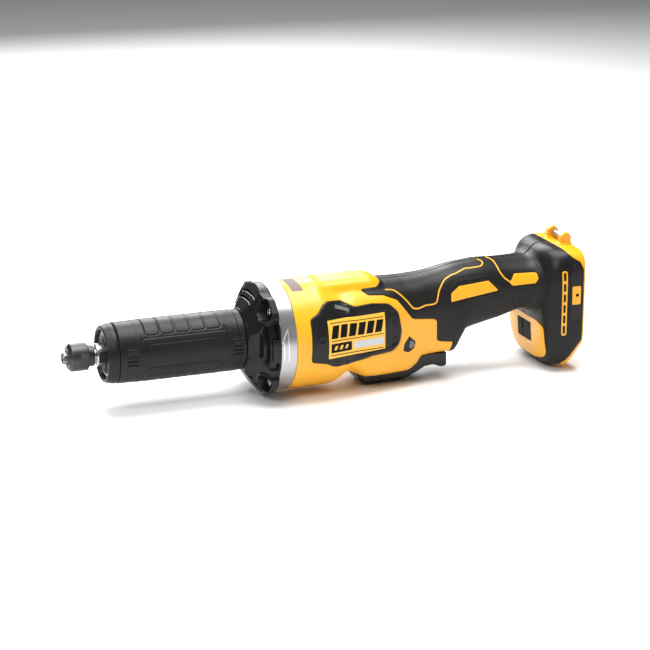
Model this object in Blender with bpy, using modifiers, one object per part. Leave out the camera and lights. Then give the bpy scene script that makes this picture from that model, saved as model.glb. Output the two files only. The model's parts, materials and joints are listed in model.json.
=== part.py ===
"""Cordless die grinder with a long barrel grip, as separate pieces with real joints.

X runs along the tool (collet at -X, battery foot at +X), Y = 0 is the plane where the two
housing halves meet, +Z is up. The origin is the centre of the underside of the bounding box.
Sizes below are millimetres; heights are measured from the spindle's axis, which lies
AXIS_HEIGHT above the origin.
"""
import math

import bmesh
import bpy
import numpy as np
from mathutils import Matrix, Vector

MM = 0.001
OBJECT_NAME = "die_grinder"

# ---------------------------------------------------------------- driving dimensions (mm)
AXIS_HEIGHT = 44.4            # spindle axis above the lowest point of the paddle
CENTRE_SHIFT = 0.25           # puts the middle of the overall length at X = 0
GAP = 0.3                     # clearance between touching pieces
SPLIT = 0.15                  # each housing half stops this far from the mid-plane

COLLET_TIP_X = -201.0
NUT_REAR_X = -177.3
NUT_RADIUS = 10.3
THREAD_RADIUS = 6.0
SPINDLE_COLLAR_RADIUS = 8.5
SPINDLE_RADIUS = 5.0
COLLET_BORE_RADIUS = 3.15     # takes a 6 mm shank

NOSE_RING_FRONT_X, NOSE_RING_REAR_X = -172.0, -163.3
BOOT_FRONT_X, BOOT_REAR_X = -163.0, -67.3
BOOT_RADIUS = 23.0
TUBE_RADIUS = 18.4

COVER_FRONT_X, COVER_REAR_X = -67.0, -47.5
BRACKET_FRONT_X, BRACKET_REAR_X = -47.2, -35.0
MOTOR_RADIUS = 41.0
COVER_SCREW_OFFSET = 27.0     # screw axes at (+-27, +-27) across the spindle axis
COVER_SCREW_SIGNS = [(-1, 1), (1, 1), (-1, -1), (1, -1)]

STATOR_X = (-22.4, 4.4)
BEARING_STARTS = {"front_bearing": -159.6, "mid_bearing": -46.6, "rear_bearing": 17.4}
BEARING_RADIUS, BEARING_WIDTH = 11.0, 6.0

HOUSING_FRONT_X, FOOT_REAR_X = -34.7, 200.5
WALL = 4.6
RUBBER_DEPTH = 2.2
PANEL_PROUD = 1.4
BADGE_MIDDLE = (13.2, 3.9)

PADDLE_PIVOT = (25.0, -30.5)  # hinge pin, x and z
PADDLE_HALF_WIDTH = 14.5
PADDLE_SKIN = 2.2
LEVER_PIVOT = (67.0, -34.5)
LEVER_HALF_WIDTH = 4.0
PLUNGER_X = 87.0
SPRING_X = 52.0

MOUNT_X = (179.0, 183.0)      # plate that carries the battery rails
RAIL_Z = (-18.0, 37.2)
RAIL_END_X = 199.0
VENT_X = (179.6, 185.6)       # grilles in the foot's sides
VENT_Z = (-14.6, 37.6)
BAR_PLACE = (195.9, 55.2)     # lanyard bar, x and z
BAR_RADIUS = 2.3
EAR_Y = (8.6, 13.4)           # inner and outer face of each lanyard ear

# Stations along the housing: x, top, bottom, half width, and the superellipse powers of the
# section's upper and lower halves.
BODY_STATIONS = [
    (-34.7, 41.0, -41.0, 41.0, 2.0, 2.0),
    (-12.0, 41.0, -41.0, 41.0, 2.0, 2.0),
    (-1.0, 37.8, -40.0, 39.2, 2.1, 2.1),
    (5.0, 35.8, -37.2, 37.9, 2.2, 2.2),
    (9.0, 35.2, -33.0, 37.2, 2.3, 2.4),
    (14.0, 35.0, -30.6, 36.2, 2.5, 2.6),
    (19.0, 34.8, -31.4, 35.4, 2.6, 3.2),
    (26.0, 34.6, -34.2, 34.3, 2.7, 3.8),
    (44.0, 35.0, -34.2, 31.2, 2.8, 4.0),
    (60.0, 34.9, -33.8, 28.6, 2.8, 4.2),
    (66.0, 35.1, -32.0, 27.6, 2.8, 4.2),
    (74.0, 35.6, -25.2, 26.4, 2.7, 3.8),
    (86.0, 37.1, -25.0, 25.0, 2.6, 3.4),
    (101.0, 40.2, -25.6, 23.9, 2.6, 3.2),
    (106.0, 41.0, -19.4, 23.4, 2.5, 2.7),
    (112.0, 41.7, -10.8, 23.0, 2.4, 2.4),
    (126.0, 43.0, -7.0, 22.8, 2.3, 2.3),
    (142.0, 42.3, -3.4, 23.0, 2.3, 2.3),
    (159.0, 42.0, 1.4, 24.2, 2.4, 2.4),
    (165.0, 42.4, 0.2, 25.4, 2.5, 2.5),
    (168.0, 43.6, -4.0, 27.6, 2.6, 2.7),
    (170.8, 46.0, -32.5, 31.2, 2.9, 3.1),
    (172.8, 48.2, -37.5, 34.0, 3.2, 3.5),
    (176.4, 50.4, -40.8, 36.8, 3.8, 4.0),
    (181.0, 51.4, -42.0, 37.9, 4.6, 4.6),
    (187.5, 51.4, -42.0, 38.0, 6.0, 6.0),
    (200.5, 50.6, -27.6, 38.0, 7.0, 7.0),
]
RIDGE_STATIONS = [
    (-14.0, 41.0, 12.0, 17.4, 4.0, 4.0),
    (32.0, 41.0, 12.0, 17.4, 4.0, 4.0),
    (38.0, 39.8, 12.0, 16.6, 3.6, 3.6),
    (42.0, 37.4, 12.0, 14.6, 3.2, 3.2),
    (44.5, 32.0, 12.0, 11.0, 3.0, 3.0),
]
RING_POINTS = 24

PANEL_OUTLINE = [
    (-23.3, 20.0), (-16.4, 23.5), (-11.4, 28.5), (-7.0, 30.0), (4.6, 29.0), (13.9, 24.6),
    (28.5, 25.0), (42.2, 23.4), (49.3, 16.8), (52.0, 2.3), (50.4, -7.6), (44.4, -12.9),
    (26.2, -13.8), (9.0, -17.9), (-4.6, -18.0), (-11.3, -14.5), (-23.5, -12.0),
]
GRIP_OUTLINE = [
    (47.0, 64.0), (44.0, 38.0), (36.0, 34.0), (22.5, 33.8), (27.6, 29.9), (39.6, 28.9),
    (50.0, 24.8), (61.6, 9.4), (82.8, 6.4), (83.1, -11.3), (95.1, -14.5), (101.5, -17.0),
    (106.0, -32.0), (150.0, -60.0), (180.0, -46.0), (197.2, -27.4), (197.4, 38.5),
    (195.0, 43.5), (188.5, 48.0), (184.5, 51.5), (183.0, 64.0),
]
PADDLE_OUTLINE = [
    (18.6, -27.4), (17.8, -31.6), (19.8, -37.2), (24.7, -42.4), (31.2, -44.4),
    (62.5, -43.0), (73.3, -38.0), (79.0, -35.0), (86.0, -34.4), (92.6, -37.0),
    (96.6, -36.8), (96.6, -22.4), (76.0, -22.4), (67.0, -30.9), (33.0, -30.9),
    (30.5, -27.4),
]
EAR_OUTLINE = [(189.8, 48.0), (200.5, 48.0), (200.5, 51.0), (198.6, 59.8), (193.4, 59.8),
               (189.8, 51.0)]
LEVER_OUTLINE = [(64.6, -33.2), (66.0, -27.5), (69.2, -27.5), (69.6, -33.0),
                 (75.6, -39.6), (73.4, -41.4), (66.8, -37.2), (64.6, -36.0)]

# Colours (linear RGB), roughness, metallic.
MATERIALS = {
    "amber_plastic": ((0.90, 0.52, 0.03), 0.42, 0.0),
    "black_plastic": ((0.030, 0.030, 0.032), 0.45, 0.0),
    "grey_rubber": ((0.055, 0.056, 0.058), 0.62, 0.0),
    "steel": ((0.62, 0.62, 0.63), 0.28, 1.0),
    "black_steel": ((0.05, 0.05, 0.052), 0.38, 0.9),
    "cast_aluminium": ((0.72, 0.73, 0.74), 0.38, 0.9),
    "copper": ((0.72, 0.30, 0.13), 0.35, 1.0),
    "brass": ((0.80, 0.58, 0.22), 0.30, 1.0),
    "laminated_steel": ((0.35, 0.35, 0.37), 0.45, 0.9),
    "magnet": ((0.18, 0.18, 0.20), 0.35, 0.8),
    "circuit_board": ((0.02, 0.16, 0.08), 0.50, 0.0),
    "label_film": ((0.55, 0.52, 0.48), 0.40, 0.1),
}


# ---------------------------------------------------------------- scene helpers
def clear_scene():
    for old in list(bpy.data.objects):
        bpy.data.objects.remove(old, do_unlink=True)


def new_collection(name):
    made = bpy.data.collections.new(name)
    bpy.context.scene.collection.children.link(made)
    return made


def make_materials():
    made = {}
    for name, (colour, roughness, metallic) in MATERIALS.items():
        material = bpy.data.materials.new(name)
        material.use_nodes = True
        shader = material.node_tree.nodes["Principled BSDF"]
        shader.inputs["Base Color"].default_value = (*colour, 1.0)
        shader.inputs["Roughness"].default_value = roughness
        shader.inputs["Metallic"].default_value = metallic
        made[name] = material
    return made


clear_scene()
PARTS = new_collection(OBJECT_NAME)
CUTTERS = new_collection(OBJECT_NAME + "_cutters")
MATERIAL = make_materials()
AXIS = bpy.data.objects.new("spindle_axis", None)
AXIS.location = (CENTRE_SHIFT * MM, 0.0, AXIS_HEIGHT * MM)
PARTS.objects.link(AXIS)


def register(obj, name, material=None, parent=AXIS):
    """Name an object, hang it on the spindle axis, and file it as a part or as a cutter."""
    obj.name = name
    obj.data.name = name
    obj.parent = parent
    for collection in list(obj.users_collection):
        collection.objects.unlink(obj)
    if material:
        PARTS.objects.link(obj)
        obj.data.materials.append(MATERIAL[material])
    else:
        CUTTERS.objects.link(obj)
        obj.hide_render = True
        obj.display_type = "WIRE"
    return obj


def mesh_object(mesh, name, material=None, parent=AXIS):
    return register(bpy.data.objects.new(name, mesh), name, material, parent)


def smooth(obj, angle=35.0):
    obj.data.shade_smooth()
    obj.data.set_sharp_from_angle(angle=math.radians(angle))
    return obj


def boolean(obj, other, operation):
    modifier = obj.modifiers.new(operation.lower() + "_" + other.name, "BOOLEAN")
    modifier.operation = operation
    modifier.solver = "EXACT"
    modifier.object = other


def cut(obj, *cutters):
    for cutter in cutters:
        boolean(obj, cutter, "DIFFERENCE")
    return obj


def join(obj, *others):
    for other in others:
        boolean(obj, other, "UNION")
    return obj


def common(obj, *others):
    for other in others:
        boolean(obj, other, "INTERSECT")
    return obj


def span(side, inner, outer):
    """The low and high Y of something between two distances from the mid-plane."""
    return sorted((side * inner, side * outer))


# ---------------------------------------------------------------- shapes
def box(name, low, high, material=None, parent=AXIS):
    """An axis-aligned box from its low corner to its high corner."""
    mesh = bpy.data.meshes.new(name)
    shape = bmesh.new()
    bmesh.ops.create_cube(shape, size=1.0)
    size = [(b - a) * MM for a, b in zip(low, high)]
    middle = [(a + b) / 2 * MM for a, b in zip(low, high)]
    bmesh.ops.scale(shape, vec=size, verts=shape.verts)
    bmesh.ops.translate(shape, vec=middle, verts=shape.verts)
    shape.to_mesh(mesh)
    shape.free()
    return mesh_object(mesh, name, material, parent)


def rod(name, start, end, radius, material=None, sides=16, radius_end=None, parent=AXIS):
    """A cylinder or cone between two points."""
    start, end = Vector(start) * MM, Vector(end) * MM
    along = end - start
    mesh = bpy.data.meshes.new(name)
    shape = bmesh.new()
    last = radius if radius_end is None else radius_end
    bmesh.ops.create_cone(shape, cap_ends=True, segments=sides, radius1=radius * MM,
                          radius2=last * MM, depth=along.length)
    turn = Vector((0, 0, 1)).rotation_difference(along).to_matrix().to_4x4()
    bmesh.ops.transform(shape, matrix=Matrix.Translation((start + end) / 2) @ turn,
                        verts=shape.verts)
    shape.to_mesh(mesh)
    shape.free()
    obj = mesh_object(mesh, name, material, parent)
    return smooth(obj) if material else obj


def turned(name, profile, material=None, sides=16, parent=AXIS):
    """A solid turned about the X axis. The closed profile lists (x, radius) points: along
    the outside towards +X, then back along the inside; radius 0 closes it on the axis."""
    mesh = bpy.data.meshes.new(name)
    verts = [(x * MM, 0.0, max(radius, 0.0) * MM) for x, radius in profile]
    count = len(verts)
    on_axis = [i for i, (_, radius) in enumerate(profile) if radius <= 0.0]
    edges = [(i, (i + 1) % count) for i in range(count)
             if not (i in on_axis and (i + 1) % count in on_axis)]
    mesh.from_pydata(verts, edges, [])
    obj = mesh_object(mesh, name, material, parent)
    screw = obj.modifiers.new("turn", "SCREW")
    screw.axis = "X"
    screw.steps = screw.render_steps = sides
    screw.use_merge_vertices = True
    screw.merge_threshold = 0.00001
    screw.use_normal_calculate = True
    screw.use_smooth_shade = False
    return solid_copy(obj, name, material, parent)


def solid_copy(source, name, material, parent):
    """Freeze an object's modifiers into its mesh, with all faces pointing out."""
    evaluated = source.evaluated_get(bpy.context.evaluated_depsgraph_get())
    mesh = bpy.data.meshes.new_from_object(evaluated)
    shape = bmesh.new()
    shape.from_mesh(mesh)
    bmesh.ops.remove_doubles(shape, verts=shape.verts, dist=0.00001)
    bmesh.ops.recalc_face_normals(shape, faces=shape.faces)
    shape.to_mesh(mesh)
    shape.free()
    mesh.materials.clear()
    bpy.data.objects.remove(source, do_unlink=True)
    obj = mesh_object(mesh, name, material, parent)
    return smooth(obj) if material else obj


def plate(name, outline, low_y, high_y, material=None, parent=AXIS):
    """A flat outline in the XZ plane given thickness from low_y to high_y."""
    curve = bpy.data.curves.new(name, "CURVE")
    curve.dimensions = "2D"
    curve.fill_mode = "BOTH"
    curve.extrude = (high_y - low_y) / 2 * MM
    spline = curve.splines.new("POLY")
    spline.points.add(len(outline) - 1)
    for point, (x, z) in zip(spline.points, outline):
        point.co = (x * MM, z * MM, 0.0, 1.0)
    spline.use_cyclic_u = True
    drawn = bpy.data.objects.new(name + "_curve", curve)
    drawn.rotation_euler = (math.radians(90), 0.0, 0.0)
    drawn.location = (0.0, (low_y + high_y) / 2 * MM, 0.0)
    CUTTERS.objects.link(drawn)
    bpy.context.view_layer.update()
    evaluated = drawn.evaluated_get(bpy.context.evaluated_depsgraph_get())
    mesh = bpy.data.meshes.new_from_object(evaluated)
    mesh.transform(drawn.matrix_world)
    bpy.data.objects.remove(drawn, do_unlink=True)
    shape = bmesh.new()
    shape.from_mesh(mesh)
    bmesh.ops.remove_doubles(shape, verts=shape.verts, dist=0.00001)
    bmesh.ops.dissolve_limit(shape, angle_limit=0.001, verts=shape.verts, edges=shape.edges)
    bmesh.ops.recalc_face_normals(shape, faces=shape.faces)
    shape.to_mesh(mesh)
    shape.free()
    mesh.materials.clear()
    return mesh_object(mesh, name, material, parent)


def offset_outline(outline, distance):
    """The outline moved outwards by a distance, corner by corner."""
    points = [Vector(p) for p in outline]
    area = sum(a.x * b.y - b.x * a.y for a, b in zip(points, points[1:] + points[:1]))
    side = 1.0 if area > 0 else -1.0
    moved = []
    for before, here, after in zip(points[-1:] + points[:-1], points, points[1:] + points[:1]):
        first = (here - before).normalized()
        second = (after - here).normalized()
        normal = Vector((first.y + second.y, -first.x - second.x)).normalized() * side
        lean = max(0.5, normal.dot(Vector((first.y, -first.x)) * side))
        moved.append(tuple(here + normal * distance / lean))
    return moved


def ring_points(station, grow):
    """The points of one superellipse cross-section, grown outwards all round."""
    _, top, bottom, half_width, upper_power, lower_power = station
    middle = (top + bottom) / 2
    half_height = (top - bottom) / 2 + grow
    points = []
    for i in range(RING_POINTS):
        angle = 2 * math.pi * (i + 0.5) / RING_POINTS
        c, s = math.cos(angle), math.sin(angle)
        power = upper_power if s > 0 else lower_power
        y = math.copysign(abs(c) ** (2 / power), c) * (half_width + grow)
        z = math.copysign(abs(s) ** (2 / power), s) * half_height + middle
        points.append((y, z))
    return points


def loft(name, stations, grow=0.0, material=None):
    """A closed solid through cross-sections along X."""
    shape = bmesh.new()
    rings = []
    for station in stations:
        ring = [shape.verts.new((station[0] * MM, y * MM, z * MM))
                for y, z in ring_points(station, grow)]
        rings.append(ring)
    for near, far in zip(rings, rings[1:]):
        for i in range(RING_POINTS):
            j = (i + 1) % RING_POINTS
            shape.faces.new((near[i], near[j], far[j], far[i]))
    shape.faces.new(rings[0])
    shape.faces.new(rings[-1])
    bmesh.ops.recalc_face_normals(shape, faces=shape.faces)
    bmesh.ops.triangulate(shape, faces=shape.faces)
    mesh = bpy.data.meshes.new(name)
    shape.to_mesh(mesh)
    shape.free()
    return mesh_object(mesh, name, material)


def body_at(x):
    """The housing's cross-section at any x, read between its stations."""
    xs = [s[0] for s in BODY_STATIONS]
    return (x, *(float(np.interp(x, xs, [s[k] for s in BODY_STATIONS])) for k in range(1, 6)))


def inset_stations(depth, start, end):
    """Stations for a surface a given depth inside the housing. At the foot's front face the
    stations slide back by the same depth, so that the steep face keeps its thickness."""
    xs = [s[0] for s in BODY_STATIONS if start < s[0] < end]
    slid = []
    for x in [start] + xs + [end]:
        share = float(np.interp(x, [158.0, 165.0, 177.0, 187.0], [0.0, 1.0, 1.0, 0.0]))
        section = body_at(x)
        slid.append((x + depth * share, *section[1:]))
    return slid


# ---------------------------------------------------------------- shared cutters
LEFT_SIDE = box("left_side", (-260, -80, -90), (260, -SPLIT, 90))
RIGHT_SIDE = box("right_side", (-260, SPLIT, -90), (260, 80, 90))
SIDES = {"left": (LEFT_SIDE, -1), "right": (RIGHT_SIDE, 1)}

OUTER = loft("outer_form", BODY_STATIONS)
CAVITY = loft("cavity_form", inset_stations(WALL, HOUSING_FRONT_X - 5, FOOT_REAR_X + 5), -WALL)
RUBBER_FLOOR = loft("rubber_floor",
                    inset_stations(RUBBER_DEPTH, HOUSING_FRONT_X - 5, FOOT_REAR_X + 5),
                    -RUBBER_DEPTH)
POCKET_FLOOR = loft("pocket_floor",
                    inset_stations(RUBBER_DEPTH + GAP, HOUSING_FRONT_X - 5, FOOT_REAR_X + 5),
                    -RUBBER_DEPTH - GAP)
RIDGE = loft("ridge_form", RIDGE_STATIONS)
RIDGE_CLEARANCE = loft("ridge_clearance", RIDGE_STATIONS, GAP)
PANEL_SKIN = loft("panel_skin", [body_at(x) for x in (-30, -12, -1, 9, 26, 44, 60)], PANEL_PROUD)

GRIP_POCKET = plate("grip_pocket", offset_outline(GRIP_OUTLINE, GAP), -60, 60)
cut(GRIP_POCKET, POCKET_FLOOR)
PANEL_POCKET = plate("panel_pocket", offset_outline(PANEL_OUTLINE, GAP), -60, 60)
cut(PANEL_POCKET, POCKET_FLOOR)
PADDLE_SLOT = box("paddle_slot", (16.6, -PADDLE_HALF_WIDTH - 0.8, -60),
                  (97.6, PADDLE_HALF_WIDTH + 0.8, -26.6))
PADDLE_SWEEP = box("paddle_sweep", (61.0, -PADDLE_HALF_WIDTH - 0.8, -50),
                   (97.6, PADDLE_HALF_WIDTH + 0.8, -14.0))

SCREW_PLACES = [(-3.0, -33.6), (58.0, 20.0), (112.0, 14.0)]
BOSS_RADIUS = 3.8


def side_at(x, z):
    """Half width of the housing at a point of its side."""
    _, top, bottom, half_width, upper_power, lower_power = body_at(x)
    power = upper_power if z > (top + bottom) / 2 else lower_power
    lift = abs(z - (top + bottom) / 2) / ((top - bottom) / 2)
    return half_width * (1 - lift ** power) ** (1 / power)


def socket_screw(name, tip, seat, head_height):
    """A hexagon-socket screw from its tip to the seat under its head."""
    tip, seat = Vector(tip), Vector(seat)
    out = (seat - tip).normalized()
    top = seat + out * head_height
    screw = rod(name, tip, seat + out, 1.6, "black_steel", sides=10)
    join(screw, rod(name + "_head", seat, top, 3.3, sides=12))
    cut(screw, rod(name + "_socket", top - out * 1.6, top + out, 1.7, sides=6))


# ---------------------------------------------------------------- spindle and nose
def collet_and_nut():
    nut = turned("collet_nut", [
        (-196.6, 7.2), (-195.0, 9.0), (-190.8, NUT_RADIUS), (-178.9, NUT_RADIUS),
        (NUT_REAR_X, 8.7), (NUT_REAR_X, THREAD_RADIUS + GAP),
        (-190.8, THREAD_RADIUS + GAP), (-195.6, 5.0), (-196.6, 4.8)], "black_steel")
    flats = [box("nut_flat_" + tag, low, high) for tag, low, high in (
        ("left", (-187.0, -20, -20), (-181.0, -9.2, 20)),
        ("right", (-187.0, 9.2, -20), (-181.0, 20, 20)))]
    cut(nut, *flats)
    collet = turned("collet", [
        (COLLET_TIP_X, 4.0), (-200.6, 4.5), (-195.9, 4.5), (-191.0, 5.9), (-189.6, 5.9),
        (-187.6, 4.4), (-178.5, 4.4), (-178.5, COLLET_BORE_RADIUS),
        (COLLET_TIP_X, COLLET_BORE_RADIUS)], "steel")
    slits = [box("collet_slit_1", (-205, -0.35, 0), (-181.5, 0.35, 10)),
             box("collet_slit_2", (-205, -0.35, -10), (-181.5, 0.35, 0))]
    cut(collet, *slits)


def spindle():
    shaft = turned("spindle", [
        (-187.2, THREAD_RADIUS), (-177.0, THREAD_RADIUS), (-177.0, SPINDLE_COLLAR_RADIUS - 0.4),
        (-176.6, SPINDLE_COLLAR_RADIUS), (-163.0, SPINDLE_COLLAR_RADIUS), (-163.0, 6.6),
        (-161.0, 6.6), (-161.0, SPINDLE_RADIUS), (-58.4, SPINDLE_RADIUS), (-58.4, 0),
        (-171.0, 0), (-171.0, COLLET_BORE_RADIUS), (-177.8, COLLET_BORE_RADIUS),
        (-177.8, 4.7), (-187.2, 4.7)], "steel")
    flats = [box("spindle_flat_" + tag, low, high) for tag, low, high in (
        ("left", (-175.6, -20, -20), (-168.6, -7.2, 20)),
        ("right", (-175.6, 7.2, -20), (-168.6, 20, 20)))]
    cut(shaft, *flats)
    turned("rotor_shaft", [(-57.8, SPINDLE_RADIUS), (23.8, SPINDLE_RADIUS), (23.8, 0),
                           (-57.8, 0)], "steel")
    turned("drive_coupling", [(-64.0, 8.0), (-52.0, 8.0), (-52.0, SPINDLE_RADIUS + GAP),
                              (-64.0, SPINDLE_RADIUS + GAP)], "black_steel", sides=20)


def bearing(name, start):
    """A ball bearing as its outer race, its ring of balls and its inner race."""
    end = start + BEARING_WIDTH
    outer, bore = BEARING_RADIUS, SPINDLE_RADIUS + GAP
    turned(name + "_outer_race", [(start, outer), (end, outer), (end, outer - 1.8),
                                  (start, outer - 1.8)], "steel")
    turned(name + "_inner_race", [(start, bore + 1.6), (end, bore + 1.6), (end, bore),
                                  (start, bore)], "steel")
    low, high = bore + 1.6 + GAP, outer - 1.8 - GAP
    turned(name + "_balls", [(start + 1.6, high), (end - 1.6, high), (end - 1.6, low),
                             (start + 1.6, low)], "steel", sides=12)


def nose():
    turned("nose_tube", [
        (-169.0, 16.9), (-163.2, 16.9), (-163.2, TUBE_RADIUS), (-61.0, TUBE_RADIUS),
        (-61.0, 22.0), (-57.5, 22.0), (-57.5, 15.0), (-152.0, 15.0), (-152.0, 11.3),
        (-160.0, 11.3), (-160.0, 13.6), (-167.6, 13.6), (-167.6, 14.6), (-169.0, 14.6)],
        "cast_aluminium", sides=24)
    turned("dust_seal", [(-166.8, 13.3), (-162.6, 13.3), (-162.6, 9.0), (-166.8, 9.0)],
           "black_plastic", sides=24)
    turned("nose_ring", [
        (NOSE_RING_FRONT_X, 19.6), (-171.2, 20.8), (-166.0, 21.6), (-165.2, 22.0),
        (NOSE_RING_REAR_X, 22.0), (NOSE_RING_REAR_X, 17.3), (-171.4, 17.3),
        (NOSE_RING_FRONT_X, 18.0)], "grey_rubber", sides=24)
    boot = turned("grip_boot", [
        (BOOT_FRONT_X, 21.4), (-161.5, BOOT_RADIUS), (-68.6, BOOT_RADIUS),
        (BOOT_REAR_X, 22.2), (BOOT_REAR_X, TUBE_RADIUS + GAP),
        (BOOT_FRONT_X, TUBE_RADIUS + GAP)], "grey_rubber", sides=24)
    grooves = []
    for first in (-157.5, -83.0):
        for x in (first + 3.5 * i for i in range(4)):
            for side in (-1, 1):
                low_y, high_y = span(side, 21.6, 30.0)
                grooves.append(box(f"groove_{x:.0f}_{side}", (x, low_y, -9.0),
                                   (x + 1.4, high_y, 9.0)))
    cut(boot, *grooves)


# ---------------------------------------------------------------- motor front end
def front_cover():
    cover = turned("front_cover", [
        (COVER_FRONT_X, 22.6), (-65.6, 23.4), (-62.5, 27.0), (-51.4, 39.8), (-50.8, MOTOR_RADIUS),
        (COVER_REAR_X, MOTOR_RADIUS), (COVER_REAR_X, 36.4), (-51.6, 36.4), (-61.2, 25.4),
        (-63.0, 22.4), (-63.0, TUBE_RADIUS + GAP), (COVER_FRONT_X, TUBE_RADIUS + GAP)],
        "black_plastic", sides=24)
    lugs = []
    for i, (sy, sz) in enumerate(COVER_SCREW_SIGNS):
        y, z = sy * COVER_SCREW_OFFSET, sz * COVER_SCREW_OFFSET
        lugs.append(rod(f"lug_{i}", (-57.5, y, z), (COVER_REAR_X, y, z), 6.6, sides=14))
    join(cover, *lugs)
    for i, (sy, sz) in enumerate(COVER_SCREW_SIGNS):
        y, z = sy * COVER_SCREW_OFFSET, sz * COVER_SCREW_OFFSET
        cut(cover, rod(f"lug_pocket_{i}", (-66.0, y, z), (-52.6, y, z), 4.4, sides=12),
            rod(f"lug_hole_{i}", (-66.0, y, z), (-40.0, y, z), 2.0, sides=10))
        socket_screw(f"cover_screw_{i + 1}", (-39.0, y, z), (-52.9, y, z), 3.2)
    for axis in range(4):
        angle = math.radians(90 * axis)
        for k, (x, radius) in enumerate(((-58.8, 30.0), (-54.6, 34.8))):
            half = radius * math.sin(math.radians(27))
            vent = box(f"vent_{axis}_{k}", (x - 0.4, radius - 12, -half),
                       (x + 1.4, radius + 12, half))
            vent.rotation_euler = (angle, 0, 0)
            cut(cover, vent)


def motor_bracket():
    bracket = turned("motor_bracket", [
        (BRACKET_FRONT_X, 15.0), (-39.4, 15.0), (-39.4, 36.0), (BRACKET_FRONT_X, 36.0),
        (BRACKET_FRONT_X, MOTOR_RADIUS), (BRACKET_REAR_X, MOTOR_RADIUS), (BRACKET_REAR_X, 6.0),
        (-39.6, 6.0), (-39.6, 11.3), (BRACKET_FRONT_X, 11.3)], "cast_aluminium", sides=24)
    for i, (sy, sz) in enumerate(COVER_SCREW_SIGNS):
        y, z = sy * COVER_SCREW_OFFSET, sz * COVER_SCREW_OFFSET
        inward_y, inward_z = y - sy * 1.4, z - sz * 1.4
        join(bracket, rod(f"bracket_boss_{i}", (-47.0, inward_y, inward_z),
                          (-37.0, inward_y, inward_z), 4.2, sides=12))
        cut(bracket, rod(f"bracket_hole_{i}", (-50.0, y, z), (-38.0, y, z), 1.95, sides=10))
    for i in range(4):
        angle = math.radians(90 * i)
        y, z = 25.0 * math.cos(angle), 25.0 * math.sin(angle)
        cut(bracket, rod(f"air_hole_{i}", (-42.0, y, z), (-30.0, y, z), 7.0, sides=14))


# ---------------------------------------------------------------- motor
def motor():
    fan = turned("fan", [(-34.0, 8.4), (-29.8, 8.4), (-29.8, 33.0), (-28.8, 33.0),
                         (-28.8, SPINDLE_RADIUS + GAP), (-34.0, SPINDLE_RADIUS + GAP)],
                 "black_plastic")
    blades = 7
    for i in range(blades):
        blade = box(f"fan_blade_{i}", (-33.8, 7.8, -0.6), (-29.2, 32.4, 0.6))
        blade.rotation_euler = (2 * math.pi * i / blades, 0, 0)
        join(fan, blade)
    front, rear = STATOR_X
    stator = turned("stator_core", [(front, 29.8), (rear, 29.8), (rear, 18.2), (front, 18.2)],
                    "laminated_steel", sides=24)
    for i in range(6):
        slot = box(f"stator_slot_{i}", (-30.0, 15.0, -3.0), (12.0, 25.5, 3.0))
        slot.rotation_euler = (math.radians(60 * i + 30), 0, 0)
        cut(stator, slot)
    turned("front_windings", [(front - 5.8, 26.0), (front - GAP, 27.5), (front - GAP, 18.4),
                              (front - 5.8, 20.0)], "copper")
    turned("rear_windings", [(rear + GAP, 25.0), (rear + 5.8, 23.6), (rear + 5.8, 20.0),
                             (rear + GAP, 18.4)], "copper")
    turned("rotor_core", [(front, 14.6), (rear, 14.6), (rear, SPINDLE_RADIUS + GAP),
                          (front, SPINDLE_RADIUS + GAP)], "laminated_steel")
    turned("rotor_magnets", [(front + 0.4, 17.4), (rear - 0.4, 17.4), (rear - 0.4, 15.0),
                             (front + 0.4, 15.0)], "magnet")
    turned("sensor_board", [(11.0, 23.0), (12.4, 23.0), (12.4, 9.0), (11.0, 9.0)],
           "circuit_board")
    turned("rear_bearing_holder", [(13.4, 24.0), (15.8, 24.0), (15.8, 14.0), (23.6, 14.0),
                                   (23.6, 11.3), (16.8, 11.3), (16.8, 8.0), (13.4, 8.0)],
           "cast_aluminium")


# ---------------------------------------------------------------- housing and skins
def screw_length(x, z, side):
    """Where a boss for a housing screw meets the side wall."""
    lowest = z - BOSS_RADIUS if z < 0 else z
    return side * (side_at(x, lowest) - WALL + 1.2)


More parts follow.
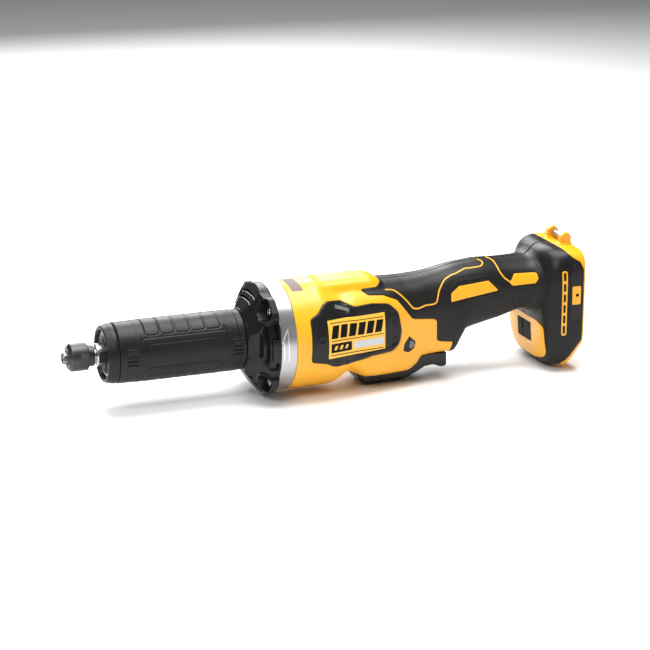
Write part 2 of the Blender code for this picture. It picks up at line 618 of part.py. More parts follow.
def housing(side_name):
    side_box, side = SIDES[side_name]
    shell = loft(side_name + "_housing", BODY_STATIONS, 0.0, "amber_plastic")
    join(shell, RIDGE)
    join(shell, plate(side_name + "_ear", EAR_OUTLINE, *span(side, *EAR_Y)))
    cut(shell, CAVITY)
    for i, (x, z) in enumerate(SCREW_PLACES):
        boss = rod(f"{side_name}_boss_{i}", (x, 0, z), (x, screw_length(x, z, side), z),
                   BOSS_RADIUS, sides=12)
        join(shell, boss)
    seat_low, seat_high = span(side, 0.0, 21.0)
    join(shell, box(side_name + "_spring_seat", (SPRING_X - 5, seat_low, -26.4),
                    (SPRING_X + 5, seat_high, -23.4)))
    common(shell, side_box)
    cut(shell, GRIP_POCKET, PANEL_POCKET)
    cut(shell, PADDLE_SLOT, PADDLE_SWEEP)
    pin_low, pin_high = span(side, 10.0, 19.4)
    px, pz = PADDLE_PIVOT
    cut(shell, rod(side_name + "_pin_hole", (px, pin_low, pz), (px, pin_high, pz), 1.8,
                   sides=12))
    for i, (x, z) in enumerate(SCREW_PLACES):
        reach = 60 if side > 0 else screw_length(x, z, side) + 2.6
        cut(shell, rod(f"{side_name}_screw_hole_{i}", (x, -5 * side, z), (x, reach, z), 2.1,
                       sides=10))
        if side > 0:
            seat = screw_length(x, z, side) - 2.0
            cut(shell, rod(f"screw_head_pocket_{i}", (x, seat, z), (x, 60, z), 3.7, sides=12))
    bar_x, bar_z = BAR_PLACE
    cut(shell, rod(side_name + "_bar_hole", (bar_x, side * 4, bar_z),
                   (bar_x, side * 11.4, bar_z), BAR_RADIUS + GAP, sides=12))
    if side < 0:
        cut(shell, rod("service_hole", (59.6, -40, -9.0), (59.6, -16, -9.0), 3.6, sides=12))
    smooth(shell)


def grips(side_name):
    side_box, side = SIDES[side_name]
    skin = plate(side_name + "_grip", GRIP_OUTLINE, -60, 60, "grey_rubber")
    common(skin, OUTER)
    cut(skin, RUBBER_FLOOR, RIDGE_CLEARANCE)
    common(skin, side_box)
    vent_low, vent_high = span(side, 30.0, 45.0)
    cut(skin, box(side_name + "_vent_hole", (VENT_X[0] - 0.4, vent_low, VENT_Z[0] - 0.4),
                  (VENT_X[1] + 0.4, vent_high, VENT_Z[1] + 0.4)))
    if side > 0:
        for i, (x, z) in enumerate(SCREW_PLACES[1:]):
            cut(skin, rod(f"grip_screw_hole_{i}", (x, 5, z), (x, 60, z), 4.2, sides=12))
    smooth(skin)


def side_panel(side_name):
    """The black plate on the motor housing, with a shallow seat for its badge."""
    side = SIDES[side_name][1]
    panel = plate(side_name + "_side_panel", PANEL_OUTLINE, *span(side, 15.0, 60.0),
                  "black_plastic")
    common(panel, PANEL_SKIN)
    cut(panel, RUBBER_FLOOR)
    cut(panel, badge_box(side_name + "_badge_seat", side, 48.2, 29.6, -0.9, 8.0))
    smooth(panel)
    badge_box(side_name + "_badge", side, 47.6, 29.0, -0.6, 0.6, "amber_plastic")


def badge_box(name, side, length, height, depth_in, depth_out, material=None):
    """A flat plate on the side panel, leaning with the housing's narrowing side."""
    x_mid, z_mid = BADGE_MIDDLE
    lean = math.atan2(body_at(-2)[3] - body_at(30)[3], 32.0)
    mid_y = body_at(x_mid)[3] + PANEL_PROUD - 0.9
    obj = box(name, (-length / 2, depth_in, -height / 2), (length / 2, depth_out, height / 2),
              material)
    obj.data.transform(Matrix.Rotation(-lean, 4, "Z"))
    if side < 0:
        obj.data.transform(Matrix.Scale(-1, 4, (0, 1, 0)))
        obj.data.flip_normals()
    obj.data.transform(Matrix.Translation((x_mid * MM, side * mid_y * MM, z_mid * MM)))
    return obj


def top_label():
    label = plate("top_label", [(-31.5, 30.0), (-31.5, 50.0), (-23.0, 50.0), (-23.0, 30.0)],
                  -17.5, 5.5, "label_film")
    common(label, loft("label_top", [body_at(-34.0), body_at(-14.0)], 0.9))
    cut(label, loft("label_under", [body_at(-34.5), body_at(-13.0)], GAP))
    smooth(label)


# ---------------------------------------------------------------- paddle switch
def paddle():
    px, pz = PADDLE_PIVOT
    pivot = bpy.data.objects.new("paddle_pivot", None)
    pivot.location = (px * MM, 0.0, pz * MM)
    pivot.parent = AXIS
    PARTS.objects.link(pivot)
    local = [(x - px, z - pz) for x, z in PADDLE_OUTLINE]
    w = PADDLE_HALF_WIDTH
    body = plate("paddle", local, -w, w, "black_plastic", pivot)
    inner = [(21.0, -24.0), (20.6, -33.0), (22.4, -37.4), (26.4, -40.6), (32.0, -42.0),
             (61.8, -40.6), (72.6, -35.8), (79.0, -32.7), (86.0, -32.2), (92.0, -34.6),
             (94.2, -34.6), (94.2, -18.0)]
    cut(body, plate("paddle_hollow", [(x - px, z - pz) for x, z in inner],
                    -w + PADDLE_SKIN, w - PADDLE_SKIN, parent=pivot))
    cut(body, rod("paddle_pin_hole", (0, -30, 0), (0, 30, 0), 1.8, sides=12, parent=pivot))
    join(body, rod("paddle_pusher", (PLUNGER_X - px, 0, -33.4 - pz),
                   (PLUNGER_X - px, 0, -21.2 - pz), 3.0, sides=12, parent=pivot))
    lx, lz = LEVER_PIVOT
    slot = LEVER_HALF_WIDTH + 0.8
    cut(body, box("lever_slot", (62.6 - px, -slot, -50 - pz), (79.4 - px, slot, -33.0 - pz),
                  parent=pivot))
    cut(body, rod("lever_pin_hole", (lx - px, -13.6, lz - pz), (lx - px, 13.6, lz - pz), 1.5,
                  sides=12, parent=pivot))
    rod("paddle_pin", (px, -19.0, pz), (px, 19.0, pz), 1.5, "steel", sides=12)
    rod("lever_pin", (lx, -13.2, lz), (lx, 13.2, lz), 1.2, "steel", sides=12)
    lever = plate("lock_off_lever", LEVER_OUTLINE, -LEVER_HALF_WIDTH, LEVER_HALF_WIDTH,
                  "black_plastic")
    cut(lever, rod("lever_bore", (lx, -9, lz), (lx, 9, lz), 1.5, sides=12))
    spring("paddle_spring", (SPRING_X, 0.0, -40.6), 13.9, 3.6, 0.5, 4.0)
    torsion_spring()


def spring(name, foot, height, radius, wire, turns):
    """A round-wire compression spring standing on its foot point."""
    steps = int(turns * 9)
    points = []
    for i in range(steps + 1):
        angle = 2 * math.pi * turns * i / steps
        points.append((foot[0] + radius * math.cos(angle), foot[1] + radius * math.sin(angle),
                       foot[2] + wire + (height - 2 * wire) * i / steps))
    wire_object(name, points, wire, "steel")


def torsion_spring():
    """The lever's return spring, wound round its pin beside the lever."""
    lx, lz = LEVER_PIVOT
    turns, steps = 2.5, 22
    points = [(lx + 2.2 * math.cos(2 * math.pi * turns * i / steps),
               5.6 + 3.6 * i / steps,
               lz + 2.2 * math.sin(2 * math.pi * turns * i / steps))
              for i in range(steps + 1)]
    wire_object("lever_spring", points, 0.35, "steel")


def wire_object(name, points, wire, material):
    curve = bpy.data.curves.new(name, "CURVE")
    curve.dimensions = "3D"
    curve.bevel_depth = wire * MM
    curve.bevel_resolution = 1
    curve.use_fill_caps = True
    line = curve.splines.new("POLY")
    line.points.add(len(points) - 1)
    for point, place in zip(line.points, points):
        point.co = (*(c * MM for c in place), 1.0)
    drawn = bpy.data.objects.new(name + "_curve", curve)
    CUTTERS.objects.link(drawn)
    bpy.context.view_layer.update()
    return solid_copy(drawn, name, material, AXIS)


def switch_and_electronics():
    body = box("switch_body", (78.0, -11.0, -6.0), (104.0, 11.0, 13.0), "black_plastic")
    cut(body, rod("plunger_bore", (PLUNGER_X, 0, -8), (PLUNGER_X, 0, 6), 2.6, sides=12))
    rod("switch_plunger", (PLUNGER_X, 0, -20.6), (PLUNGER_X, 0, -1.0), 2.3, "steel",
        sides=12)
    box("control_module", (118.0, -13.0, 8.0), (156.0, 13.0, 30.0), "circuit_board")


# ---------------------------------------------------------------- battery foot
def foot():
    mount = box("battery_mount", (MOUNT_X[0], -33.2, -36.0), (MOUNT_X[1], 33.2, 47.5),
                "black_plastic")
    common(mount, loft("mount_form", inset_stations(WALL + GAP, 150.0, FOOT_REAR_X + 4),
                       -WALL - GAP))
    for tag, (_, side) in SIDES.items():
        low, high = span(side, 24.0, 28.5)
        lip_low, lip_high = span(side, 21.0, 28.5)
        join(mount, box(tag + "_rail_web", (MOUNT_X[1] - 1, low, RAIL_Z[0]),
                        (RAIL_END_X, high, RAIL_Z[1])),
             box(tag + "_rail_lip", (RAIL_END_X - 3, lip_low, RAIL_Z[0]),
                 (RAIL_END_X, lip_high, RAIL_Z[1])))
    block = box("terminal_block", (183.3, -11.0, -12.0), (189.4, 11.0, 20.0), "black_plastic")
    for i, y in enumerate((-7.0, 7.0)):
        cut(block, box(f"blade_slot_{i}", (184.6, y - 0.8, -14.0), (191.0, y + 0.8, 16.0)))
        box(f"terminal_blade_{i + 1}", (185.0, y - 0.4, -10.0), (192.2, y + 0.4, 15.6),
            "brass")
    bar_x, bar_z = BAR_PLACE
    rod("lanyard_bar", (bar_x, -11.1, bar_z), (bar_x, 11.1, bar_z), BAR_RADIUS,
        "amber_plastic", sides=14)
    half_width = BODY_STATIONS[-1][3]
    for side_name, (_, side) in SIDES.items():
        low, high = span(side, half_width - RUBBER_DEPTH, half_width)
        grille = box(side_name + "_vent_grille", (VENT_X[0], low, VENT_Z[0]),
                     (VENT_X[1], high, VENT_Z[1]), "amber_plastic")
        common(grille, OUTER)
        low, high = span(side, 20.0, 60.0)
        cut(grille, *[box(f"{side_name}_grille_slot_{k}", (VENT_X[0] + 2, low, z),
                          (VENT_X[1] - 2, high, z + 5.4))
                      for k, z in enumerate(VENT_Z[0] + 2.2 + 8.2 * i for i in range(6))])


def housing_screws():
    for i, (x, z) in enumerate(SCREW_PLACES):
        seat = screw_length(x, z, 1) - 2.0
        socket_screw(f"housing_screw_{i + 1}", (x, screw_length(x, z, -1) + 3.2, z),
                     (x, seat + GAP, z), 3.0)


collet_and_nut()
spindle()
for bearing_name, start_x in BEARING_STARTS.items():
    bearing(bearing_name, start_x)
nose()
front_cover()
motor_bracket()
motor()
for half in ("left", "right"):
    housing(half)
    grips(half)
    side_panel(half)
top_label()
paddle()
switch_and_electronics()
foot()
housing_screws()
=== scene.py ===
"""Looks of the cordless die grinder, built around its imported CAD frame.

Lengths in this script are millimetres in the tool's own frame: x runs along the spindle from
the collet (-x) to the battery foot (+x), y across, z up from the spindle's axis. place() turns
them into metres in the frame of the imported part.
"""
import json
import math

import bmesh
import bpy
import numpy as np
from mathutils import Matrix, Vector
from mathutils.geometry import delaunay_2d_cdt


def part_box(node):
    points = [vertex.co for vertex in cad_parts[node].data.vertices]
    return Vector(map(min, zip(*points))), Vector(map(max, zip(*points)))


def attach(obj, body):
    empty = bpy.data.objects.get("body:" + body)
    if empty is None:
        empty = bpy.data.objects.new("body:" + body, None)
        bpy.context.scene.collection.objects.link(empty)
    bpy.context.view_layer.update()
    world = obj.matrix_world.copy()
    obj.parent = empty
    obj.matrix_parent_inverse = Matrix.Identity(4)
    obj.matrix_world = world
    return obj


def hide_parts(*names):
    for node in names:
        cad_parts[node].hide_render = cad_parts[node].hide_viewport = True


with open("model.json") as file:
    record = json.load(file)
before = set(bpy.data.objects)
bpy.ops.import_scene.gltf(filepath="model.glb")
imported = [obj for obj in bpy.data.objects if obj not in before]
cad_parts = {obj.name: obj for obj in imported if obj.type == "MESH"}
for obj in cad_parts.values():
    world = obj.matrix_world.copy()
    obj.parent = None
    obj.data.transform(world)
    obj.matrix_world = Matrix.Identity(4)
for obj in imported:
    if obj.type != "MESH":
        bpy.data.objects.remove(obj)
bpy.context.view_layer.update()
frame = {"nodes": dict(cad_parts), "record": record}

MM = 0.001

# ---------------------------------------------------------------- driving dimensions (mm)
HOUSING_FRONT_X, FOOT_REAR_X = -34.7, 200.5
SEAM = 0.04                   # each housing half stops this far from the mid-plane

SPINDLE_LOW, SPINDLE_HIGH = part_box("spindle")
AXIS_Z = (SPINDLE_LOW.z + SPINDLE_HIGH.z) / 2 / MM
SHIFT_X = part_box("left_housing")[0].x / MM - HOUSING_FRONT_X
ORIGIN = np.array([SHIFT_X, 0.0, AXIS_Z])


def place(points):
    """Tool-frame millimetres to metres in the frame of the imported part."""
    return (np.asarray(points, float) + ORIGIN) * MM


# ---------------------------------------------------------------- body form
# Stations along the housing: x, top, bottom, half width, and the superellipse powers of the
# section's upper and lower halves.
BODY_STATIONS = np.array([
    (-34.7, 41.0, -41.0, 41.0, 2.0, 2.0),
    (-12.0, 41.0, -41.0, 41.0, 2.0, 2.0),
    (-1.0, 37.8, -40.0, 39.2, 2.1, 2.1),
    (5.0, 35.8, -37.2, 37.9, 2.2, 2.2),
    (9.0, 35.2, -33.0, 37.2, 2.3, 2.4),
    (14.0, 35.0, -30.6, 36.2, 2.5, 2.8),
    (19.0, 34.8, -31.8, 35.4, 2.6, 3.6),
    (26.0, 34.6, -34.6, 34.3, 2.7, 4.4),
    (44.0, 35.0, -34.9, 31.2, 2.8, 4.8),
    (60.0, 34.9, -34.6, 28.6, 2.8, 4.8),
    (66.0, 35.1, -32.2, 27.6, 2.8, 4.6),
    (74.0, 35.6, -25.2, 26.4, 2.7, 4.0),
    (86.0, 37.1, -25.0, 25.0, 2.6, 3.6),
    (101.0, 40.2, -25.6, 23.9, 2.6, 3.2),
    (106.0, 41.0, -19.4, 23.4, 2.5, 2.7),
    (112.0, 41.7, -10.8, 23.0, 2.4, 2.4),
    (126.0, 43.0, -7.0, 22.8, 2.3, 2.3),
    (142.0, 42.3, -3.4, 23.0, 2.3, 2.3),
    (159.0, 42.0, 1.4, 24.2, 2.4, 2.4),
    (165.0, 42.4, 0.2, 25.4, 2.5, 2.5),
    (168.0, 43.6, -4.0, 27.6, 2.6, 2.7),
    (170.8, 46.0, -32.5, 31.2, 2.9, 3.1),
    (172.8, 48.2, -37.5, 34.0, 3.2, 3.5),
    (176.4, 50.4, -40.8, 36.8, 3.8, 4.0),
    (181.0, 51.4, -42.0, 37.9, 4.6, 4.6),
    (187.5, 51.4, -42.0, 38.0, 6.0, 6.0),
    (200.5, 50.6, -27.6, 38.0, 7.0, 7.0),
])
RIDGE_STATIONS = np.array([
    (-14.0, 41.0, 12.0, 17.4, 4.0, 4.0),
    (32.0, 41.0, 12.0, 17.4, 4.0, 4.0),
    (38.0, 39.8, 12.0, 16.6, 3.6, 3.6),
    (42.0, 37.4, 12.0, 14.6, 3.2, 3.2),
    (44.5, 32.0, 12.0, 11.0, 3.0, 3.0),
])
RIDGE_FILLET = 3.0
ROW_STEP = 0.5                # spacing of the form's cross-sections, along its surface
HALF_COLUMNS = 150            # samples from the side of a section to its top or bottom
FORM_SAMPLES = 2000           # places along x that the surface's length is measured at
ANGLES = 361                  # directions that a section is searched in, bottom to top
FAR, HALVINGS = 90.0, 26      # the search's reach, and how often it is halved


def smooth_through(xs, ys, at):
    """A monotone cubic curve through the points (xs, ys), read at the places in at."""
    at = np.asarray(at, float)
    step = np.diff(xs)
    slope = np.diff(ys) / step
    tangent = np.zeros(len(xs))
    tangent[0], tangent[-1] = slope[0], slope[-1]
    same = slope[:-1] * slope[1:] > 0
    before, after = slope[:-1][same], slope[1:][same]
    near, far = 2 * step[1:] + step[:-1], step[1:] + 2 * step[:-1]
    tangent[1:-1][same] = (near + far)[same] / (near[same] / before + far[same] / after)
    k = np.clip(np.searchsorted(xs, at, side="right") - 1, 0, len(step) - 1)
    t = np.clip((at - xs[k]) / step[k], 0, 1)
    return ((1 + 2 * t) * (1 - t) ** 2 * ys[k] + t * (1 - t) ** 2 * step[k] * tangent[k]
            + t * t * (3 - 2 * t) * ys[k + 1] + t * t * (t - 1) * step[k] * tangent[k + 1])


def stations_at(stations, x):
    """Top, bottom, half width and powers at each x, one column of numbers for each."""
    return [smooth_through(stations[:, 0], stations[:, k], x)[:, None] for k in range(1, 6)]


def outside(y, z, top, bottom, half_width, upper, lower):
    """Rough distance of (y, z) outside a superellipse section; negative inside it."""
    middle, half = (top + bottom) / 2, (top - bottom) / 2
    power = np.where(z > middle, upper, lower)
    reach = (np.abs(y) / half_width) ** power + (np.abs(z - middle) / half) ** power
    return (reach ** (1 / power) - 1) * np.minimum(half_width, half)


def blended(a, b, width):
    """The nearer of two distances, with a soft fillet where they meet."""
    share = np.clip(0.5 + 0.5 * (b - a) / width, 0, 1)
    return b + (a - b) * share - width * share * (1 - share)


class Form:
    """A smooth surface through sections along x, read by (u, v): u runs along the surface and
    v round it from the side, both in millimetres, v positive towards the top."""

    def __init__(self):
        x = np.linspace(HOUSING_FRONT_X, FOOT_REAR_X, FORM_SAMPLES)
        top, bottom, half_width = (c[:, 0] for c in stations_at(BODY_STATIONS, x)[:3])
        climb = np.gradient((top - bottom + 2 * half_width) / 4, x)
        u = np.concatenate([[0], np.cumsum(np.diff(x) * np.hypot(1, climb[1:]))])
        self.u = np.linspace(0, u[-1], int(u[-1] / ROW_STEP) + 1)
        self.x = np.interp(self.u, u, x)
        self.measure()

    def measure(self):
        body = stations_at(BODY_STATIONS, self.x)
        ridge = stations_at(RIDGE_STATIONS, self.x)
        within = (self.x > RIDGE_STATIONS[0, 0]) & (self.x < RIDGE_STATIONS[-1, 0])
        self.middle = (body[0] + body[1]) / 2
        angle = np.linspace(-math.pi / 2, math.pi / 2, ANGLES)[None, :]
        c, s = np.cos(angle), np.sin(angle)
        low, high = np.zeros((len(self.x), ANGLES)), np.full((len(self.x), ANGLES), FAR)
        for _ in range(HALVINGS):
            r = (low + high) / 2
            y, z = r * c, self.middle + r * s
            reach = outside(y, z, *body)
            joined = blended(reach, outside(y, z, *ridge), RIDGE_FILLET)
            reach = np.where(within[:, None], joined, reach)
            low, high = np.where(reach < 0, r, low), np.where(reach < 0, high, r)
        y, z = low * c, self.middle + low * s
        along = np.hypot(np.diff(y, axis=1), np.diff(z, axis=1))
        arc = np.concatenate([np.zeros((len(self.x), 1)), np.cumsum(along, axis=1)], axis=1)
        side = arc[:, ANGLES // 2]
        self.below, self.above = side.copy(), arc[:, -1] - side
        share = np.linspace(-1, 1, 2 * HALF_COLUMNS + 1)
        rows = []
        for i in range(len(self.x)):
            v = np.where(share < 0, share * self.below[i], share * self.above[i]) + side[i]
            rows.append(np.stack([np.full_like(v, self.x[i]), np.interp(v, arc[i], y[i]),
                                  np.interp(v, arc[i], z[i]),
                                  np.interp(v, arc[i], np.degrees(angle[0]))], axis=1))
        table = np.array(rows)
        self.points, self.angles = table[:, :, :3], table[:, :, 3]
        along_u = np.gradient(self.points, axis=0)
        along_v = np.gradient(self.points, axis=1)
        normals = np.cross(along_v, along_u)
        self.normals = normals / np.linalg.norm(normals, axis=2)[:, :, None]

    def index(self, uv):
        row = np.clip(uv[:, 0] / self.u[1], 0, len(self.u) - 1.001)
        above = np.interp(uv[:, 0], self.u, self.above)
        below = np.interp(uv[:, 0], self.u, self.below)
        share = np.clip(np.where(uv[:, 1] > 0, uv[:, 1] / above, uv[:, 1] / below), -1, 1)
        column = np.clip((share + 1) * HALF_COLUMNS, 0, 2 * HALF_COLUMNS - 0.001)
        return row, column

    def read(self, uv):
        """Positions and unit normals on the +y side."""
        row, column = self.index(uv)
        i, j = row.astype(int), column.astype(int)
        a, b = (row - i)[:, None], (column - j)[:, None]
        found = []
        for table in (self.points, self.normals):
            found.append((1 - a) * (1 - b) * table[i, j] + (1 - a) * b * table[i, j + 1]
                         + a * (1 - b) * table[i + 1, j] + a * b * table[i + 1, j + 1])
        normal = found[1] / np.linalg.norm(found[1], axis=1)[:, None]
        return found[0], normal

    def locate(self, x, value, table):
        """(u, v) of points given by x and a value that grows round the section."""
        u = np.interp(x, self.x, self.u)
        row = np.clip(np.rint(u / self.u[1]).astype(int), 0, len(self.u) - 1)
        share = np.linspace(-1, 1, 2 * HALF_COLUMNS + 1)
        v = []
        for i, wanted in zip(row, value):
            at = np.interp(wanted, table[i], share)
            v.append(at * (self.above[i] if at > 0 else self.below[i]))
        return np.stack([u, np.array(v)], axis=1)

    def by_height(self, xz):
        """Side-view points (x, z); a z beyond the form stands for its top or bottom seam."""
        xz = np.asarray(xz, float)
        return self.locate(xz[:, 0], xz[:, 1], self.points[:, :, 2])

    def by_width(self, xy, upper):
        """Points (x, distance from the mid-plane) on the upper or the lower half."""
        xy = np.asarray(xy, float)
        half = slice(HALF_COLUMNS, None) if upper else slice(None, HALF_COLUMNS + 1)
        share = np.linspace(-1, 1, 2 * HALF_COLUMNS + 1)[half]
        u = np.interp(xy[:, 0], self.x, self.u)
        row = np.clip(np.rint(u / self.u[1]).astype(int), 0, len(self.u) - 1)
        v = []
        for i, wanted in zip(row, xy[:, 1]):
            width = self.points[i, half, 1]
            order = slice(None, None, -1) if upper else slice(None)
            at = np.interp(wanted, width[order], share[order])
            v.append(at * (self.above[i] if at > 0 else self.below[i]))
        return np.stack([u, np.array(v)], axis=1)

    def by_angle(self, xa):
        """Points (x, degrees round the section): -90 bottom, 0 side, 90 top."""
        xa = np.asarray(xa, float)
        return self.locate(xa[:, 0], xa[:, 1], self.angles)


FORM = Form()


# ---------------------------------------------------------------- materials
def noise(nodes, links, coords, scale, detail=4.0, stretch=(1, 1, 1), offset=0.0):
    """A noise texture on object coordinates, in metres."""
    mapping = nodes.new("ShaderNodeMapping")
    mapping.inputs["Scale"].default_value = stretch
    mapping.inputs["Location"].default_value = (offset, offset * 0.7, offset * 1.3)
    links.new(coords, mapping.inputs["Vector"])
    texture = nodes.new("ShaderNodeTexNoise")
    texture.inputs["Scale"].default_value = scale
    texture.inputs["Detail"].default_value = detail
    links.new(mapping.outputs["Vector"], texture.inputs["Vector"])
    return texture.outputs["Fac"]


def ranged(nodes, links, value, low, high, start=0.3, end=0.7):
    """The value's stretch from start to end, spread over low to high."""
    node = nodes.new("ShaderNodeMapRange")
    for socket, number in zip(("From Min", "From Max", "To Min", "To Max"),
                              (start, end, low, high)):
        node.inputs[socket].default_value = number
    links.new(value, node.inputs["Value"])
    return node.outputs["Result"]


def mixed(nodes, links, factor, first, second):
    """Goes from first, a colour or a socket, to a second colour as the factor rises to 1."""
    mix = nodes.new("ShaderNodeMix")
    mix.data_type = "RGBA"
    if isinstance(first, tuple):
        mix.inputs["A"].default_value = (*first, 1)
    else:
        links.new(first, mix.inputs["A"])
    mix.inputs["B"].default_value = (*second, 1)
    links.new(factor, mix.inputs["Factor"])
    return mix.outputs["Result"]


def finish(name, colour, roughness, metallic=0.0, grain=900.0, bump=0.05, mottle=0.06,
           wear=0.25, worn=None, stretch=(1, 1, 1), rough_spread=0.08, **surface):
    """A moulded, cast or machined surface: mottled colour, grain, rubbed edges."""
    material = bpy.data.materials.new(name)
    material.use_nodes = True
    nodes, links = material.node_tree.nodes, material.node_tree.links
    shader = nodes["Principled BSDF"]
    shader.inputs["Metallic"].default_value = metallic
    for socket, value in surface.items():
        shader.inputs[socket.replace("_", " ")].default_value = value
    coords = nodes.new("ShaderNodeTexCoord").outputs["Object"]
    dark = tuple(c * (1 - mottle) for c in colour)
    light = tuple(min(1, c * (1 + mottle)) for c in colour)
    cloud = noise(nodes, links, coords, 45.0, 5.0)
    base = mixed(nodes, links, ranged(nodes, links, cloud, 0, 1), dark, light)
    geometry = nodes.new("ShaderNodeNewGeometry")
    edge = ranged(nodes, links, geometry.outputs["Pointiness"], 0, 1, 0.54, 0.66)
    rub = noise(nodes, links, coords, 160.0, 6.0, offset=3.0)
    worn_share = nodes.new("ShaderNodeMath")
    worn_share.operation = "MULTIPLY"
    links.new(edge, worn_share.inputs[0])
    links.new(ranged(nodes, links, rub, 0, wear, 0.42, 0.62), worn_share.inputs[1])
    worn = worn or tuple(min(1, c * 1.4 + 0.04) for c in colour)
    links.new(mixed(nodes, links, worn_share.outputs[0], base, worn),
              shader.inputs["Base Color"])
    smudge = noise(nodes, links, coords, 28.0, 3.0, offset=7.0)
    links.new(ranged(nodes, links, smudge, roughness - rough_spread, roughness + rough_spread),
              shader.inputs["Roughness"])
    fine = noise(nodes, links, coords, grain, 2.0, stretch, offset=1.0)
    bumped = nodes.new("ShaderNodeBump")
    bumped.inputs["Strength"].default_value = bump
    bumped.inputs["Distance"].default_value = 0.0004
    links.new(fine, bumped.inputs["Height"])
    links.new(bumped.outputs["Normal"], shader.inputs["Normal"])
    return material


def make_materials():
    return {
        "yellow": finish("amber_moulding", (0.86, 0.405, 0.012), 0.34, grain=1500, bump=0.035,
                         mottle=0.03, wear=0.2, worn=(0.93, 0.6, 0.12),
                         Specular_IOR_Level=0.5),
        "rubber": finish("soft_rubber", (0.012, 0.0115, 0.011), 0.40, grain=1900, bump=0.14,
                         mottle=0.16, wear=0.5, worn=(0.040, 0.038, 0.038),
                         Specular_IOR_Level=0.20),
        "black": finish("black_moulding", (0.010, 0.0098, 0.010), 0.34, grain=1300, bump=0.06,
                        mottle=0.12, wear=0.4, worn=(0.040, 0.038, 0.040),
                        Specular_IOR_Level=0.25),
        "gloss": finish("polished_black", (0.008, 0.008, 0.009), 0.24, grain=900, bump=0.015,
                        mottle=0.12, wear=0.3, worn=(0.03, 0.03, 0.032),
                        Specular_IOR_Level=0.30),
        "silver": finish("cast_aluminium", (0.42, 0.42, 0.425), 0.34, 0.85, grain=1500,
                         bump=0.09, mottle=0.05, worn=(0.75, 0.75, 0.76)),
        "steel": finish("ground_steel", (0.55, 0.55, 0.56), 0.28, 1.0, grain=700, bump=0.04,
                        stretch=(14, 1, 1), mottle=0.06, worn=(0.8, 0.8, 0.8)),
        "black_steel": finish("blackened_steel", (0.050, 0.048, 0.048), 0.42, 0.8,
                              grain=800, bump=0.06, stretch=(6, 1, 1), mottle=0.2,
                              wear=0.8, worn=(0.30, 0.29, 0.28)),
        "tool_steel": finish("tool_steel", (0.20, 0.20, 0.205), 0.36, 0.9, grain=900, bump=0.03,
                             mottle=0.1, wear=0.5, worn=(0.40, 0.40, 0.40)),
        # near-black, low-shine steel: painted dark reflection for the spindle's flats, which
        # mirror dark surroundings
        "flat_steel": finish("milled_flat_painted_reflection", (0.020, 0.020, 0.020), 0.45, 0.3, grain=900,
                             bump=0.03, mottle=0.1, Specular_IOR_Level=0.2),
        "copper": finish("copper_wire", (0.70, 0.26, 0.10), 0.32, 1.0, grain=1400, bump=0.5,
                         stretch=(8, 1, 1), mottle=0.12),
        "brass": finish("brass_contact", (0.78, 0.55, 0.20), 0.28, 1.0, mottle=0.08),
        "laminations": finish("stacked_laminations", (0.34, 0.34, 0.36), 0.42, 0.9,
                              grain=1200, bump=0.5, stretch=(10, 0.2, 0.2), mottle=0.12),
        "magnet": finish("nickelled_magnet", (0.42, 0.41, 0.40), 0.26, 0.95, mottle=0.08),
        "board": finish("circuit_board", (0.015, 0.13, 0.05), 0.38, grain=600, bump=0.2,
                        mottle=0.3),
        "amber": finish("badge_film", (0.90, 0.50, 0.045), 0.34, grain=500, bump=0.02,
                        mottle=0.03, wear=0.1),
        # near-black: print on the badge and the foot label, and painted shade in the cover's
        # openings, behind the vent slots and in the tag's hole
        "ink": finish("printed_and_painted_shade_black", (0.008, 0.008, 0.008), 0.60, grain=500, bump=0.02,
                      mottle=0.1, wear=0.1, Specular_IOR_Level=0.08),
        "band": finish("silver_film", (0.52, 0.53, 0.55), 0.35, 0.3, grain=500, bump=0.02,
                       mottle=0.05, wear=0.1),
        # grey: the service cap's own colour, and also a painted highlight on the upper louvre
        "grey": finish("grey_cap_and_painted_highlight", (0.13, 0.13, 0.132), 0.38, grain=900, bump=0.05),
        "bare": finish("machined_edge", (0.80, 0.80, 0.80), 0.30, 0.7, grain=900, bump=0.04),
        "label": finish("printed_film", (0.20, 0.16, 0.15), 0.60, grain=500, bump=0.02,
                        mottle=0.05, wear=0.1, Specular_IOR_Level=0.12),
    }


MATERIAL = make_materials()
NODE_LOOKS = {"amber_plastic": "yellow", "grey_rubber": "rubber", "black_plastic": "black",
              "cast_aluminium": "silver", "steel": "steel", "black_steel": "black_steel",
              "copper": "copper", "brass": "brass", "laminated_steel": "laminations",
              "magnet": "magnet", "circuit_board": "board", "label_film": "label"}
SLOT = {look: slot for slot, look in NODE_LOOKS.items()}
SLOT.update({"gloss": "black_plastic", "tool_steel": "steel", "flat_steel": "steel",
             "amber": "amber_plastic", "ink": "label_film", "band": "label_film",
             "grey": "black_plastic", "bare": "cast_aluminium"})


# ---------------------------------------------------------------- mesh building
def add_piece(name, points, faces, look, body="housing", stands_for=(), sharp=38.0):
    """A piece from tool-frame points and faces, riding on a body."""
    mesh = bpy.data.meshes.new(name)
    mesh.from_pydata(place(points).tolist(), [], [list(map(int, f)) for f in faces])
    mesh.validate()
    piece = bpy.data.objects.new(name, mesh)
    bpy.context.scene.collection.objects.link(piece)
    shape = bmesh.new()
    shape.from_mesh(mesh)
    bmesh.ops.recalc_face_normals(shape, faces=shape.faces)
    shape.to_mesh(mesh)
    shape.free()
    mesh.shade_smooth()
    mesh.set_sharp_from_angle(angle=math.radians(sharp))
    mesh.materials.append(MATERIAL[look])
    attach(piece, body)
    if stands_for:
        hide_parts(*stands_for)
    return piece


def mirrored(points, side):
    """The points on the asked side: -1 is the left half, at -y."""
    return np.asarray(points) * (1, side, 1)


SIDES = (("left", -1), ("right", 1))


def both_sides(name, points, faces, look, body="housing", stands_for=None, sharp=38.0):
    """The same piece on the left and on the right; each may stand for its side's CAD node."""
    for label, side in SIDES:
        add_piece(f"{label}_{name}", mirrored(points, side), faces, look, body,
                  [f"{label}_{stands_for}"] if stands_for else [], sharp)


